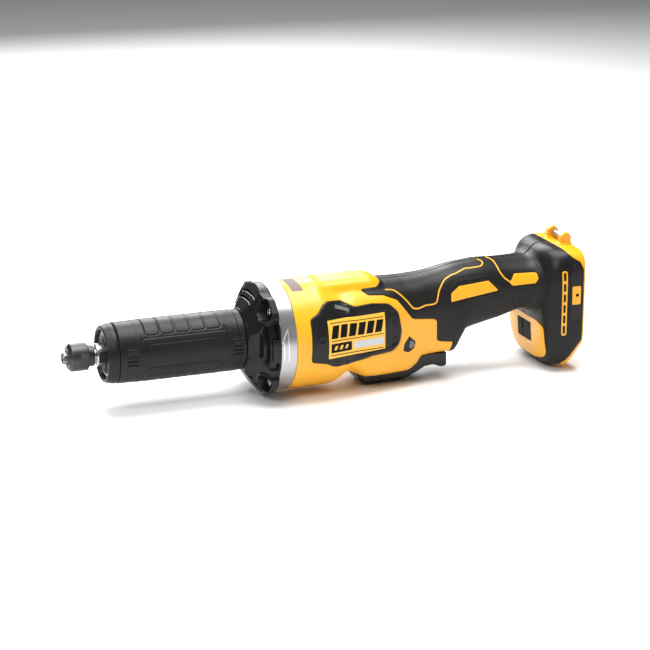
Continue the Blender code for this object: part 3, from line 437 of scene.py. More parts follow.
def gathered(parts):
    """Several pairs of points and faces as one pair."""
    points, faces, start = [], [], 0
    for part, sides in parts:
        faces += [tuple(i + start for i in face) for face in sides]
        points.append(part)
        start += len(part)
    return np.concatenate(points), faces


# ---------------------------------------------------------------- flat outlines
def filleted(corners, radius=2.0):
    """A closed outline with rounded corners. A corner may carry its own radius."""
    rounded = []
    points = [Vector(c[:2]) for c in corners]
    for i, corner in enumerate(corners):
        here, before, after = points[i], points[i - 1], points[(i + 1) % len(points)]
        wanted = corner[2] if len(corner) > 2 else radius
        to_before, to_after = before - here, after - here
        turn = to_before.angle(to_after)
        if wanted <= 0 or turn > math.radians(178):
            rounded.append(here)
            continue
        reach = min(wanted / math.tan(turn / 2), 0.48 * to_before.length,
                    0.48 * to_after.length)
        start = here + to_before.normalized() * reach
        end = here + to_after.normalized() * reach
        for t in np.linspace(0, 1, 9):
            rounded.append(start * (1 - t) ** 2 + here * 2 * t * (1 - t) + end * t * t)
    return [tuple(p) for p in rounded]


def divided(outline, step=0.8):
    """The closed outline with no side longer than the step."""
    outline = np.asarray(outline, float)
    result = []
    for here, after in zip(outline, np.roll(outline, -1, axis=0)):
        count = max(1, math.ceil(np.linalg.norm(after - here) / step))
        result += [here + (after - here) * k / count for k in range(count)]
    result = np.array(result)
    keep = np.linalg.norm(result - np.roll(result, 1, axis=0), axis=1) > 0.02
    return result[keep]


def turned_left(loop):
    """The loop, running counterclockwise."""
    x, y = loop[:, 0], loop[:, 1]
    area = 0.5 * float(np.sum(x * np.roll(y, -1) - np.roll(x, -1) * y))
    return loop if area > 0 else loop[::-1]


def inwards(loop, distance):
    """The counterclockwise loop's points moved to its left."""
    along = np.roll(loop, -1, axis=0) - np.roll(loop, 1, axis=0)
    along /= np.linalg.norm(along, axis=1)[:, None]
    return loop + np.stack([-along[:, 1], along[:, 0]], axis=1) * distance


def inside(points, loop):
    """Whether each point lies inside the loop."""
    found = np.zeros(len(points), bool)
    x, y = points[:, 0], points[:, 1]
    for (ax, ay), (bx, by) in zip(loop, np.roll(loop, -1, axis=0)):
        if ay == by:
            continue
        crosses = (ay > y) != (by > y)
        found ^= crosses & (x < ax + (y - ay) * (bx - ax) / (by - ay))
    return found


def nearness(points, loops):
    """Distance from each point to the nearest side of any loop."""
    starts = np.concatenate(loops)
    ends = np.concatenate([np.roll(loop, -1, axis=0) for loop in loops])
    along = ends - starts
    length = (along ** 2).sum(axis=1)
    best = np.empty(len(points))
    for k in range(0, len(points), 2000):
        gap = points[k:k + 2000, None] - starts[None]
        t = np.clip((gap * along).sum(axis=2) / length, 0, 1)
        best[k:k + 2000] = np.sqrt(((gap - t[:, :, None] * along) ** 2).sum(axis=2).min(axis=1))
    return best


def stroke(line, width):
    """The outline of a line of the given width, with square ends."""
    line = np.asarray(line, float)
    along = np.gradient(line, axis=0)
    along /= np.linalg.norm(along, axis=1)[:, None]
    across = np.stack([-along[:, 1], along[:, 0]], axis=1) * width / 2
    return np.concatenate([line + across, (line - across)[::-1]])


def eased(line, radius=3.0, step=0.8):
    """An open line with rounded corners, in steps."""
    corners = [Vector(p) for p in line]
    points = [corners[0]]
    for before, here, after in zip(corners, corners[1:], corners[2:]):
        reach = min(radius, 0.48 * (before - here).length, 0.48 * (after - here).length)
        start = here + (before - here).normalized() * reach
        end = here + (after - here).normalized() * reach
        points += [start * (1 - t) ** 2 + here * 2 * t * (1 - t) + end * t * t
                   for t in np.linspace(0, 1, 7)]
    points.append(corners[-1])
    spaced = [points[0]]
    for here, after in zip(points, points[1:]):
        count = max(1, math.ceil((after - here).length / step))
        spaced += [here + (after - here) * k / count for k in range(1, count + 1)]
    return [tuple(p) for p in spaced]


# ---------------------------------------------------------------- skins
ROUNDING = (0.134, 0.5, 1.0, 1.35, 2.0)      # rows of points inside an edge, in edge radii
POCKET_SLOPE = 0.05                          # run of a pocket's wall, so that it isn't upright
TINY_SPIN = 1e-7                             # twice the area of a triangle that is left out


def lattice(gap, low, high):
    """Staggered points, a gap apart, over a rectangle."""
    rows = np.arange(low[1], high[1] + gap, gap * 0.87)
    columns = np.arange(low[0], high[0] + gap, gap)
    return np.array([(c + (k % 2) * gap / 2, r) for k, r in enumerate(rows) for c in columns])


def within_rims(points, rims):
    """Whether each point lies inside the first rim and outside the others."""
    found = inside(points, rims[0])
    for loop in rims[1:]:
        found &= ~inside(points, loop)
    return found


def triangulated(cloud, loops, rims):
    """Points and counterclockwise triangles through a cloud and closed loops, kept in the rims."""
    points, edges, start = [cloud], [], len(cloud)
    for loop in loops:
        edges += [(start + k, start + (k + 1) % len(loop)) for k in range(len(loop))]
        points.append(loop)
        start += len(loop)
    points = np.concatenate(points)
    found, _, triangles, *_ = delaunay_2d_cdt([Vector(p) for p in points], edges, [], 0, 1e-4)
    flat = np.array([tuple(p) for p in found])
    triangles = np.array(triangles)
    triangles = triangles[within_rims(flat[triangles].mean(axis=1), rims)]
    first, second = (flat[triangles[:, 1]] - flat[triangles[:, 0]],
                     flat[triangles[:, 2]] - flat[triangles[:, 0]])
    spin = first[:, 0] * second[:, 1] - first[:, 1] * second[:, 0]
    triangles = triangles[np.abs(spin) > TINY_SPIN]
    spin = spin[np.abs(spin) > TINY_SPIN]
    triangles[spin < 0] = triangles[spin < 0][:, ::-1]
    used, triangles = np.unique(triangles, return_inverse=True)
    return flat[used], triangles.reshape(-1, 3)


def skin(form, outline, height=0.0, edge=0.5, depth=2.0, step=1.4, holes=(), pockets=(),
         floor=-2.2, relief=None, fine=()):
    """A plate that follows a form: an outline in (u, v) with rounded edges, holes through it,
    pockets sunk to a floor, and a relief that adds to the height. fine lists (loop, step) areas
    with closer points. Gives the points and faces of a closed solid on the +y side."""
    rims = [turned_left(outline)] + [turned_left(h)[::-1] for h in holes]
    pocket_rims = [turned_left(p)[::-1] for p in pockets]
    borders = rims + pocket_rims

    def kept(points):
        return points[within_rims(points, rims)]

    cloud = kept(lattice(step, outline.min(axis=0), outline.max(axis=0)))
    away = nearness(cloud, borders)
    cloud = cloud[away > max(2 * edge, 0.1) + 0.4 * step]
    for loop, gap in fine:
        cloud = cloud[~inside(cloud, loop)]
        added = kept(lattice(gap, loop.min(axis=0), loop.max(axis=0)))
        added = added[inside(added, loop)]
        near = nearness(added, borders)
        cloud = np.concatenate([cloud, added[near > 2 * edge + 0.4 * gap]])
    for rim in borders:
        for share in ROUNDING if edge > 0 else ():
            row = kept(inwards(rim, share * edge))
            near = nearness(row, borders)
            cloud = np.concatenate([cloud, row[near > 0.96 * share * edge]])
    fixed = borders + [inwards(rim, -POCKET_SLOPE) for rim in pocket_rims]
    flat, triangles = triangulated(cloud, fixed, rims)
    lift = np.full(len(flat), float(height))
    near = nearness(flat, borders)
    if edge > 0:
        close = np.clip(1 - near / edge, 0, 1)
        lift -= edge * (1 - np.sqrt(1 - close ** 2))
    if relief is not None:
        lift += relief(flat, near)
    for rim in pocket_rims:
        sunk = inside(flat, rim) & (nearness(flat, [rim]) > 0.02)
        lift[sunk] = floor
    base, normal = form.read(flat)
    return closed(base + normal * lift[:, None], base - normal * depth, triangles)


def closed(top, bottom, triangles):
    """A solid between two copies of a triangulated sheet."""
    count = len(top)
    pairs = {}
    for a, b, c in triangles:
        for pair in ((a, b), (b, c), (c, a)):
            pairs[pair] = pairs.get((pair[1], pair[0]), 0)
    rim = [p for p in pairs if (p[1], p[0]) not in pairs]
    faces = [tuple(t) for t in triangles]
    faces += [(a + count, c + count, b + count) for a, b, c in triangles]
    faces += [(b, a, a + count, b + count) for a, b in rim]
    return np.concatenate([top, bottom]), faces


# ---------------------------------------------------------------- solids and how they combine
def solid(points, faces):
    """A loose closed mesh in tool-frame millimetres, to build with."""
    mesh = bpy.data.meshes.new("solid")
    mesh.from_pydata(np.asarray(points, float).tolist(), [], [list(map(int, f)) for f in faces])
    shape = bmesh.new()
    shape.from_mesh(mesh)
    bmesh.ops.recalc_face_normals(shape, faces=shape.faces)
    shape.to_mesh(mesh)
    shape.free()
    blank = bpy.data.objects.new("solid", mesh)
    bpy.context.scene.collection.objects.link(blank)
    return blank


def discard(blank):
    mesh = blank.data
    bpy.data.objects.remove(blank)
    bpy.data.meshes.remove(mesh)


def applied(blank):
    """Makes the object's modifiers part of its mesh."""
    depsgraph = bpy.context.evaluated_depsgraph_get()
    mesh = bpy.data.meshes.new_from_object(blank.evaluated_get(depsgraph))
    blank.modifiers.clear()
    old, blank.data = blank.data, mesh
    bpy.data.meshes.remove(old)
    return blank


def combined(blank, others, operation):
    for other in others:
        step = blank.modifiers.new("step", "BOOLEAN")
        step.object, step.operation, step.solver = other, operation, "MANIFOLD"
    applied(blank)
    for other in others:
        discard(other)
    return blank


def joined(blank, *others):
    return combined(blank, others, "UNION")


def without(blank, *others):
    return combined(blank, others, "DIFFERENCE")


def within(blank, *others):
    return combined(blank, others, "INTERSECT")


def softened(blank, voxel=0.35, rounds=3, share=0.45):
    """The solid's points and faces, remeshed finely so that its edges are softly rounded."""
    remesh = blank.modifiers.new("remesh", "REMESH")
    remesh.mode, remesh.voxel_size = "VOXEL", voxel
    smooth = blank.modifiers.new("smooth", "SMOOTH")
    smooth.factor, smooth.iterations = 0.5, rounds
    thin = blank.modifiers.new("thin", "DECIMATE")
    thin.ratio = share
    applied(blank)
    points = np.array([tuple(v.co) for v in blank.data.vertices])
    faces = [tuple(p.vertices) for p in blank.data.polygons]
    discard(blank)
    return points, faces


def loft(rings, closed_ends=True):
    """Points and faces through rings of equally many points."""
    count, size = len(rings), len(rings[0])
    faces = [(i * size + j, i * size + (j + 1) % size, (i + 1) * size + (j + 1) % size,
              (i + 1) * size + j) for i in range(count - 1) for j in range(size)]
    if closed_ends:
        faces += [tuple(range(size)), tuple(range((count - 1) * size, count * size))]
    else:
        last = (count - 1) * size
        faces += [(last + j, last + (j + 1) % size, (j + 1) % size, j) for j in range(size)]
    return np.concatenate(rings), faces


AXES = {"x": (1, 2, 0), "y": (0, 2, 1), "z": (0, 1, 2)}


def extruded(outline, low, high, axis="x"):
    """A flat outline, in the two other axes, extruded along the axis."""
    first, second, third = AXES[axis]
    rings = []
    for level in (low, high):
        ring = np.zeros((len(outline), 3))
        ring[:, [first, second]] = np.asarray(outline, float)[:, :2]
        ring[:, third] = level
        rings.append(ring)
    return loft(rings)


def block(low, high, radius=0.0, axis="x"):
    """A box between two corners, its edges along the axis rounded."""
    first, second, third = AXES[axis]
    corners = [(low[first], low[second]), (high[first], low[second]),
               (high[first], high[second]), (low[first], high[second])]
    outline = filleted(corners, radius) if radius else corners
    return extruded(outline, low[third], high[third], axis)


def turned(profile, segments=180, start=0.0, sweep=360.0):
    """A closed profile (x, radius) turned about the spindle's axis, all round or in part."""
    profile = np.asarray(profile, float)
    whole = sweep >= 360
    angles = np.radians(start + np.linspace(0, sweep, segments + (0 if whole else 1),
                                            endpoint=not whole))
    rings = [np.stack([profile[:, 0], profile[:, 1] * math.cos(a), profile[:, 1] * math.sin(a)],
                      axis=1) for a in angles]
    return loft(rings, closed_ends=not whole)


def rounded_profile(corners, radius=0.4, step=0.5):
    """A closed profile with rounded corners, and points along its long sides."""
    return divided(filleted(corners, radius), step)


def regular(sides, inradius, start=0.0):
    """The corners of a regular polygon, given the distance of its sides."""
    reach = inradius / math.cos(math.pi / sides)
    return [(reach * math.cos(a), reach * math.sin(a))
            for a in (start + math.pi / sides + 2 * math.pi * k / sides for k in range(sides))]


# ---------------------------------------------------------------- collet, nut and spindle
COLLET_TIP, NUT_FRONT, NUT_REAR = -201.0, -197.4, -178.1
NUT_RADIUS, NUT_FLAT, NUT_FLAT_X = 10.3, 9.0, (-189.2, -182.8)
SPINDLE_RADIUS, SPINDLE_FLAT, SPINDLE_FLAT_X = 8.5, 7.2, (-175.6, -168.6)
# Profiles: x, radius and the radius of the corner's fillet.
NUT_PROFILE = [(NUT_REAR, 5.2, 0), (NUT_REAR, 7.4, 0.5), (-178.8, 7.9, 0.4),
               (-182.4, 7.9, 0.3), (-182.8, 9.4, 0.4), (-183.4, NUT_RADIUS, 0.6),
               (-195.2, NUT_RADIUS, 0.9), (NUT_FRONT, 8.1, 0.5), (NUT_FRONT, 5.3, 0.3),
               (-194.3, 4.9, 0)]
FINGER_PROFILE = [(COLLET_TIP, 3.15, 0.2), (COLLET_TIP, 4.1, 0.3), (-200.3, 4.5, 0.3),
                  (-188.0, 4.5, 0.1), (-188.0, 3.05, 0.1)]
SLEEVE_PROFILE = [(-188.3, 3.1), (-188.3, 4.3), (-179.5, 4.3), (-179.5, 3.1)]
SPINDLE_PROFILE = [
    (-187.2, 4.7, 0), (-187.2, 5.1, 0.2), (-176.9, 5.1, 0.1), (-176.9, 7.9, 0.3),
    (-176.3, SPINDLE_RADIUS, 0.3), (-163.0, SPINDLE_RADIUS, 0.2), (-163.0, 6.6, 0.2),
    (-161.0, 6.6, 0.2), (-161.0, 5.0, 0.1), (-58.4, 5.0, 0.2), (-58.4, 0.02, 0),
    (-171.0, 0.02, 0), (-171.0, 3.15, 0), (-177.8, 3.15, 0), (-177.8, 4.7, 0)]
FINGERS, FINGER_SPREAD, FINGER_GAP = 6, 54.0, 6.0     # number, and degrees of each and between


def flattened(shape, half_width, span):
    """A round shape cut back to two flats at +y and -y over a span of x."""
    points, faces = np.array(shape[0]), shape[1]
    part = (points[:, 0] >= span[0]) & (points[:, 0] <= span[1])
    points[part, 1] = np.clip(points[part, 1], -half_width, half_width)
    return points, faces


def chuck():
    nut = turned(rounded_profile(NUT_PROFILE, 0.4, 0.25), 288)
    add_piece("nut_body", *flattened(nut, NUT_FLAT, NUT_FLAT_X), "black_steel", "nut",
              ["collet_nut"], sharp=25)
    profile = rounded_profile(FINGER_PROFILE, 0.2, 0.4)
    parts = [turned(profile, 20, (FINGER_SPREAD + FINGER_GAP) * k + FINGER_GAP / 2, FINGER_SPREAD)
             for k in range(FINGERS)]
    parts.append(turned(rounded_profile(SLEEVE_PROFILE, 0.1), 96))
    add_piece("collet_fingers", *gathered(parts), "tool_steel", "collet", ["collet"], sharp=30)
    shaft = turned(rounded_profile(SPINDLE_PROFILE, 0.3, 0.3), 144)
    add_piece("spindle_shaft", *flattened(shaft, SPINDLE_FLAT, SPINDLE_FLAT_X), "steel", "rotor",
              ["spindle"], sharp=25)
    # Thin near-black plates on both flats of the spindle: a painted dark reflection of the
    # surroundings
    half = math.sqrt(SPINDLE_RADIUS ** 2 - SPINDLE_FLAT ** 2) - 0.3
    flat = block((SPINDLE_FLAT_X[0] + 0.2, SPINDLE_FLAT - 0.4, -half),
                 (SPINDLE_FLAT_X[1] - 0.2, SPINDLE_FLAT + 0.06, half))
    both_sides("spindle_flat_painted_reflection", *flat, "flat_steel", "rotor")


# ---------------------------------------------------------------- nose ring and rubber boot
BOOT_FRONT, BOOT_REAR, BOOT_RADIUS, BOOT_BORE = -163.0, -67.3, 23.0, 18.7
PAD_START, PAD_PITCH, PAD_HALF, PAD_CENTRE = -137.4, 11.6, 4.9, 36.1
COLLAR_PROFILE = [(-163.3, 17.4, 0.3), (-163.3, 22.2, 1.2), (-166.2, 22.2, 1.6),
                  (-171.9, 20.6, 2.6), (-171.9, 18.4, 1.4), (-168.4, 17.4, 0.6)]


def rounded_box(x, s, low, high, radius):
    """Signed distance outside a rounded rectangle between two corners."""
    away_x = np.abs(x - (low[0] + high[0]) / 2) - (high[0] - low[0]) / 2 + radius
    away_s = np.abs(s - (low[1] + high[1]) / 2) - (high[1] - low[1]) / 2 + radius
    return (np.hypot(np.maximum(away_x, 0), np.maximum(away_s, 0))
            + np.minimum(np.maximum(away_x, away_s), 0) - radius)


def step_up(distance, width):
    """1 inside a shape, 0 outside it, smooth across the width."""
    t = np.clip(0.5 - distance / width, 0, 1)
    return t * t * (3 - 2 * t)


def boot_height(x, angle):
    """How far the boot's surface stands above its lowest skin; angle is from the side."""
    s = np.radians(angle) * BOOT_RADIUS
    height = 0.62 * step_up(rounded_box(x, s, (-162.6, -60), (-67.6, 60), 0.3), 0.8)
    height += 0.28 * step_up(rounded_box(x, s, (-149.4, -60), (-71.6, 60), 1.5), 1.0)
    height -= 0.5 * step_up(np.abs(x + 72.0) - 0.35, 0.7)
    frame_line = np.abs(rounded_box(x, s, (-147.0, -9.2), (-80.0, 15.2), 4.0))
    height -= 0.32 * step_up(frame_line - 0.45, 0.8)
    height -= 0.62 * step_up(rounded_box(x, s, (-143.2, -8.0), (-86.4, 12.4), 0.7), 0.8)
    height += 0.30 * step_up(rounded_box(x, s, (-140.6, -5.6), (-89.0, 10.0), 0.7), 0.8)
    half = np.where(s > 0, 18.4, 20.6)                    # the pads reach further underneath
    for k in range(5):
        groove = 8.4 - 3.1 * k
        for start in (-158.4, -78.4):
            height -= 0.75 * step_up(rounded_box(x, s, (start, groove - 0.5),
                                                 (start + 8.6, groove + 0.5), 0.4), 0.6)
        middle = PAD_START + PAD_PITCH * k
        pad = rounded_box(x, np.abs(s) - PAD_CENTRE, (middle - PAD_HALF, -half),
                          (middle + PAD_HALF, half), 2.6)
        height += 0.10 * step_up(pad, 1.2) - 0.52 * step_up(np.abs(pad - 0.5) - 0.25, 1.0)
    for sign, place_s in ((1, 17.0), (-1, 14.0)):         # slanted notches by the rear grooves
        across_x, across_s = x + 81.6, s * sign - place_s
        notch = np.maximum(np.abs(across_x * 0.8 + across_s * 0.6) - 0.45,
                           np.abs(across_x * 0.6 - across_s * 0.8) - 3.0)
        height -= 0.5 * step_up(notch, 0.7)
    return height


def boot():
    x = np.concatenate([np.linspace(BOOT_FRONT, BOOT_FRONT + 1.2, 6)[:-1],
                        np.arange(BOOT_FRONT + 1.2, BOOT_REAR - 0.8, 0.36),
                        np.linspace(BOOT_REAR - 0.8, BOOT_REAR, 5)])
    angles = np.arange(0, 360, 0.9)
    grid_x, grid_angle = np.meshgrid(x, angles, indexing="ij")
    turned_angle = (grid_angle + 90) % 360 - 90           # -90 to 270: bottom, side, top, side
    from_side = np.where(turned_angle > 90, 180 - turned_angle, turned_angle)
    radius = BOOT_RADIUS - 1.0 + boot_height(grid_x, from_side)
    a = np.radians(grid_angle)
    outer = np.stack([grid_x, radius * np.cos(a), radius * np.sin(a)], axis=2)
    inner = np.stack([grid_x, BOOT_BORE * np.cos(a), BOOT_BORE * np.sin(a)], axis=2)
    sleeve = loft(list(outer) + list(inner[::-1]), closed_ends=False)
    add_piece("boot_sleeve", *sleeve, "rubber", "housing", ["grip_boot"], sharp=60)
    collar = turned(rounded_profile(COLLAR_PROFILE, 0.4, 0.4), 288)
    add_piece("nose_collar", *collar, "rubber", "housing", ["nose_ring"], sharp=50)


# ---------------------------------------------------------------- front cover
COVER_FRONT, COVER_REAR, COVER_RADIUS = -67.0, -47.5, 41.0
FLARE_START, FLARE_END = (-66.2, 23.0), (-52.8, 41.2)
LUG = [(31.6, -4.4), (37.2, -9.9), (42.2, -9.6), (44.6, -6.0)]
LUG_POCKET = [(32.8, -3.4), (37.2, -8.8), (41.5, -8.6), (43.4, -5.4)]
SIDE_OPENING = [(29.2, -4.6), (29.2, 11.2), (31.0, 17.0), (36.4, 20.4), (39.9, 20.4),
                (39.9, -16.0), (38.6, -16.0)]
LUG_PLACE, LUG_SETBACK = 27.0, 1.9          # the screws' places, and the lugs' set back faces
COVER_NECK = [(COVER_FRONT, 19.0), (COVER_FRONT, 22.8), (-65.8, 23.6), (-64.2, 24.8),
              (-62.6, 26.3), (-61.1, 28.2), (-59.7, 30.4), (-58.4, 32.6), (-56.0, 33.0),
              (-56.0, 19.0)]
COVER_HOLLOW = [(-80.0, 0.01), (-80.0, 19.2), (-62.5, 19.2), (-60.5, 24.0), (-52.8, 35.4),
                (-50.4, 37.4), (-46.0, 37.4), (-46.0, 0.01)]
CORNER_HOLES = ((13.6, -26.0, 2.3), (15.2, -31.0, 2.0))        # y, z and size
TOP_SLOTS = ((34.3, 13.8), (30.2, 11.6))                       # height and half width
RIBS = ((32.9, 2.0, -58.8), (37.6, 2.4, -55.2))                # radius, width and front
COVER_SCREW = [(-48.9, 0.02, 0), (-48.9, 2.9, 0.2), (-52.4, 2.9, 0.4), (-52.8, 2.4, 0.2),
               (-52.8, 1.55, 0.2), (-51.4, 1.5, 0.1), (-51.2, 0.02, 0)]


def frustum(shift, reach=0.0):
    """The eight-sided flare of the cover, moved along x, reaching further by a distance."""
    slope = (FLARE_END[1] - FLARE_START[1]) / (FLARE_END[0] - FLARE_START[0])
    rings = []
    for x, r in (FLARE_START, (FLARE_END[0] + reach, FLARE_END[1] + slope * reach),
                 (COVER_REAR + 6, FLARE_END[1] + slope * reach)):
        ring = np.array(regular(8, r))
        rings.append(np.column_stack([np.full(8, x + shift), ring]))
    return loft(rings)


def lug_outline(half, quarter):
    """A lug's outline, symmetric about its diagonal, turned to a quarter of the cover."""
    outline = half + [(a, -b) for a, b in half[::-1]]
    angle = math.radians(45 + 90 * quarter)
    return [(a * math.cos(angle) - b * math.sin(angle), a * math.sin(angle) + b * math.cos(angle))
            for a, b in outline]


def arc_prism(radius, width, middle, half_angle, low, high):
    """A curved bar round the axis."""
    corners = [(low, radius - width / 2), (low, radius + width / 2),
               (high, radius + width / 2), (high, radius - width / 2)]
    return turned(corners, 24, middle - half_angle, 2 * half_angle)


def cover():
    plug = turned([(-75.0, 0.01), (-75.0, COVER_RADIUS), (COVER_REAR, COVER_RADIUS),
                   (COVER_REAR, 0.01)], 180)
    shell = within(solid(*frustum(0)), solid(*plug))
    shell = joined(shell, solid(*turned(COVER_NECK, 180)))
    shell = without(shell, solid(*turned(COVER_HOLLOW, 120)))
    lugs, cuts = [], []
    for quarter in range(4):
        lug = extruded(filleted(lug_outline(LUG, quarter), 1.6), -60.0, COVER_REAR)
        lugs.append(within(solid(*lug), solid(*frustum(-LUG_SETBACK, 4.0))))
        pocket = filleted(lug_outline(LUG_POCKET, quarter), 1.2)
        cuts.append(solid(*extruded(pocket, -66.0, -49.0)))
    shell = joined(shell, *lugs)
    for side in (-1, 1):
        outline = [(y * side, z) for y, z in filleted(SIDE_OPENING, 1.0)]
        cuts.append(solid(*extruded(outline, -70.0, -48.6)))
        for y, z, size in CORNER_HOLES:
            corner = [(side * (y - size), z + 0.4 * size), (side * (y + size), z + 0.2 * size),
                      (side * (y + 0.2 * size), z - size)]
            cuts.append(solid(*extruded(corner, -70.0, -49.4)))
    for height, half in TOP_SLOTS:
        slot = [(-half, height - 1.5), (-half / 2, height - 0.3), (half / 2, height - 0.3),
                (half, height - 1.5), (half, height + 0.1), (half / 2, height + 1.4),
                (-half / 2, height + 1.4), (-half, height + 0.1)]
        cuts.append(solid(*extruded(filleted(slot, 0.7), -70.0, -49.4)))
    shell = without(shell, *cuts)
    ribs = [solid(*arc_prism(radius, width, side, 34, front, -49.4))
            for side in (0, 180) for radius, width, front in RIBS]
    add_piece("cover_shell", *softened(joined(shell, *ribs), 0.32, 3, 0.5), "black", "housing",
              ["front_cover"], sharp=50)
    head, faces = turned(rounded_profile(COVER_SCREW, 0.2, 0.6), 64)
    for index, (y, z) in enumerate(((1, 1), (-1, 1), (-1, -1), (1, -1))):
        points = head + np.array([0, y * LUG_PLACE, z * LUG_PLACE])
        add_piece(f"cover_screw_head_{index + 1}", points, faces, "steel", "housing",
                  [f"cover_screw_{index + 1}"], sharp=30)
    # A near-black plate just behind each side opening: painted shade inside the cover's openings.
    shape = inwards(turned_left(np.array(filleted(SIDE_OPENING, 1.0), float)[:, :2]), 0.4)
    both_sides("cover_painted_shade", *extruded(shape, -48.9, -48.5), "ink")


# ---------------------------------------------------------------- silver motor bracket
BRACKET_FRONT, BRACKET_REAR, BRACKET_RADIUS = -47.2, -35.0, 41.0
BRACKET_PROFILE = [(BRACKET_FRONT, 36.0, 0.2), (BRACKET_FRONT, BRACKET_RADIUS, 0.7),
                   (BRACKET_REAR, BRACKET_RADIUS, 0.4), (BRACKET_REAR, 36.0, 0.2)]
ARROW = [(-45.2, -7.8), (-45.2, 6.4), (-46.6, 6.4), (-41.6, 15.6), (-41.6, -8.6)]


class Drum:
    """A cylinder about the axis, read by (x, distance round it from the side)."""

    def __init__(self, radius):
        self.radius = radius

    def read(self, uv):
        angle = uv[:, 1] / self.radius
        normal = np.stack([np.zeros(len(uv)), np.cos(angle), np.sin(angle)], axis=1)
        along = np.stack([uv[:, 0]] + [np.zeros(len(uv))] * 2, axis=1)
        return normal * self.radius + along, normal


def bracket():
    ring = turned(rounded_profile(BRACKET_PROFILE, 0.5, 0.5), 288)
    add_piece("bracket_ring", *ring, "silver", "housing", ["motor_bracket"], sharp=45)
    drum = Drum(BRACKET_RADIUS - 0.1)
    for index, (start, end) in enumerate(zip(ARROW, ARROW[1:])):
        line = turned_left(divided(stroke(eased([start, end], 0.1, 0.5), 0.7), 0.5))
        both_sides(f"arrow_line_{index + 1}",
                   *skin(drum, line, height=0.4, edge=0.12, depth=0.3, step=0.8), "bare")


# ---------------------------------------------------------------- housing, grips and panels
PANEL_OUTLINE = [
    (-23.3, 20.0, 3), (-16.4, 23.5, 4), (-11.4, 28.5, 3), (-7.0, 30.0, 4), (4.6, 29.0, 5),
    (13.9, 24.6, 5), (28.5, 25.0, 6), (42.2, 23.4, 9), (49.3, 16.8, 9), (52.0, 2.3, 12),
    (50.4, -7.6, 9), (44.4, -12.9, 9), (26.2, -13.8, 8), (9.0, -17.9, 6), (-4.6, -18.0, 6),
    (-11.3, -14.5, 4), (-23.5, -12.0, 3),
]
GRIP_OUTLINE = [
    (47.0, 64.0, 0), (44.0, 38.0, 2), (36.0, 34.0, 3), (22.5, 33.8, 2), (27.6, 29.9, 2),
    (39.6, 28.9, 5), (50.0, 24.8, 6), (61.6, 9.4, 5), (82.8, 6.4, 4), (83.1, -11.3, 4),
    (97.3, -14.2, 1), (97.8, -40.0, 0), (150.0, -60.0, 0),
    (183.6, -60.0, 0), (184.9, -37.8, 2), (199.1, -19.4, 2), (199.1, 36.4, 2), (196.4, 42.6, 2.5),
    (191.1, 45.8, 3), (187.8, 49.3, 3), (186.4, 51.3, 2), (184.8, 64.0, 0),
]
RIBBED_FIELD = [(93.0, -13.0), (93.0, 31.0), (163.0, 37.0), (163.0, -2.0)]
PADDLE_SLOT_X = (22.8, 97.6)
PADDLE_SLOT_HALF = 15.3
REAR_INSET = 0.25
POCKET_DEPTH = 2.2
SKIN_GAP = 0.12


def side_outline(corners, radius=2.0, gap=0.0):
    """An outline given from the side, laid on the body form, clear of the mid-plane."""
    loop = FORM.by_height(divided(filleted(corners, radius)))
    top = np.interp(loop[:, 0], FORM.u, FORM.above) - SEAM
    bottom = SEAM - np.interp(loop[:, 0], FORM.u, FORM.below)
    loop[:, 1] = np.clip(loop[:, 1], bottom, top)
    loop = turned_left(divided(loop))
    return inwards(loop, gap) if gap else loop


def housing_outline():
    """The edge of one half: front rim, top seam, rear rim, and the bottom seam with the
    opening that the paddle works in."""
    front, rear = 0.0, FORM.u[-1] - REAR_INSET
    along = np.arange(front, rear, 0.8)
    top = np.stack([along, np.interp(along, FORM.u, FORM.above) - SEAM], axis=1)
    end = np.arange(SEAM - FORM.below[-1], FORM.above[-1] - SEAM, 0.8)[::-1]
    end = np.stack([np.full(len(end), rear), end], axis=1)
    start, finish_x = PADDLE_SLOT_X
    x = np.concatenate([np.arange(FOOT_REAR_X - REAR_INSET, finish_x, -0.4),
                        np.linspace(finish_x, start, 130),
                        np.arange(start - 0.05, HOUSING_FRONT_X, -0.8)])
    half = np.where((x <= finish_x) & (x >= start), PADDLE_SLOT_HALF, SEAM)
    slot_ends = np.linspace(SEAM, PADDLE_SLOT_HALF, 20)
    before, after = x > finish_x, x < start
    slot = ~before & ~after
    lower = np.concatenate([
        np.stack([x[before], half[before]], axis=1),
        np.stack([np.full(20, finish_x + 0.02), slot_ends], axis=1),
        np.stack([x[slot], half[slot]], axis=1),
        np.stack([np.full(20, start - 0.02), slot_ends[::-1]], axis=1),
        np.stack([x[after], half[after]], axis=1)])
    bottom = FORM.by_width(lower, upper=False)
    rim = np.arange(SEAM - FORM.below[0], FORM.above[0] - SEAM, 0.8)
    rim = np.stack([np.full(len(rim), front), rim], axis=1)
    return divided(np.concatenate([top, end, bottom, rim]))


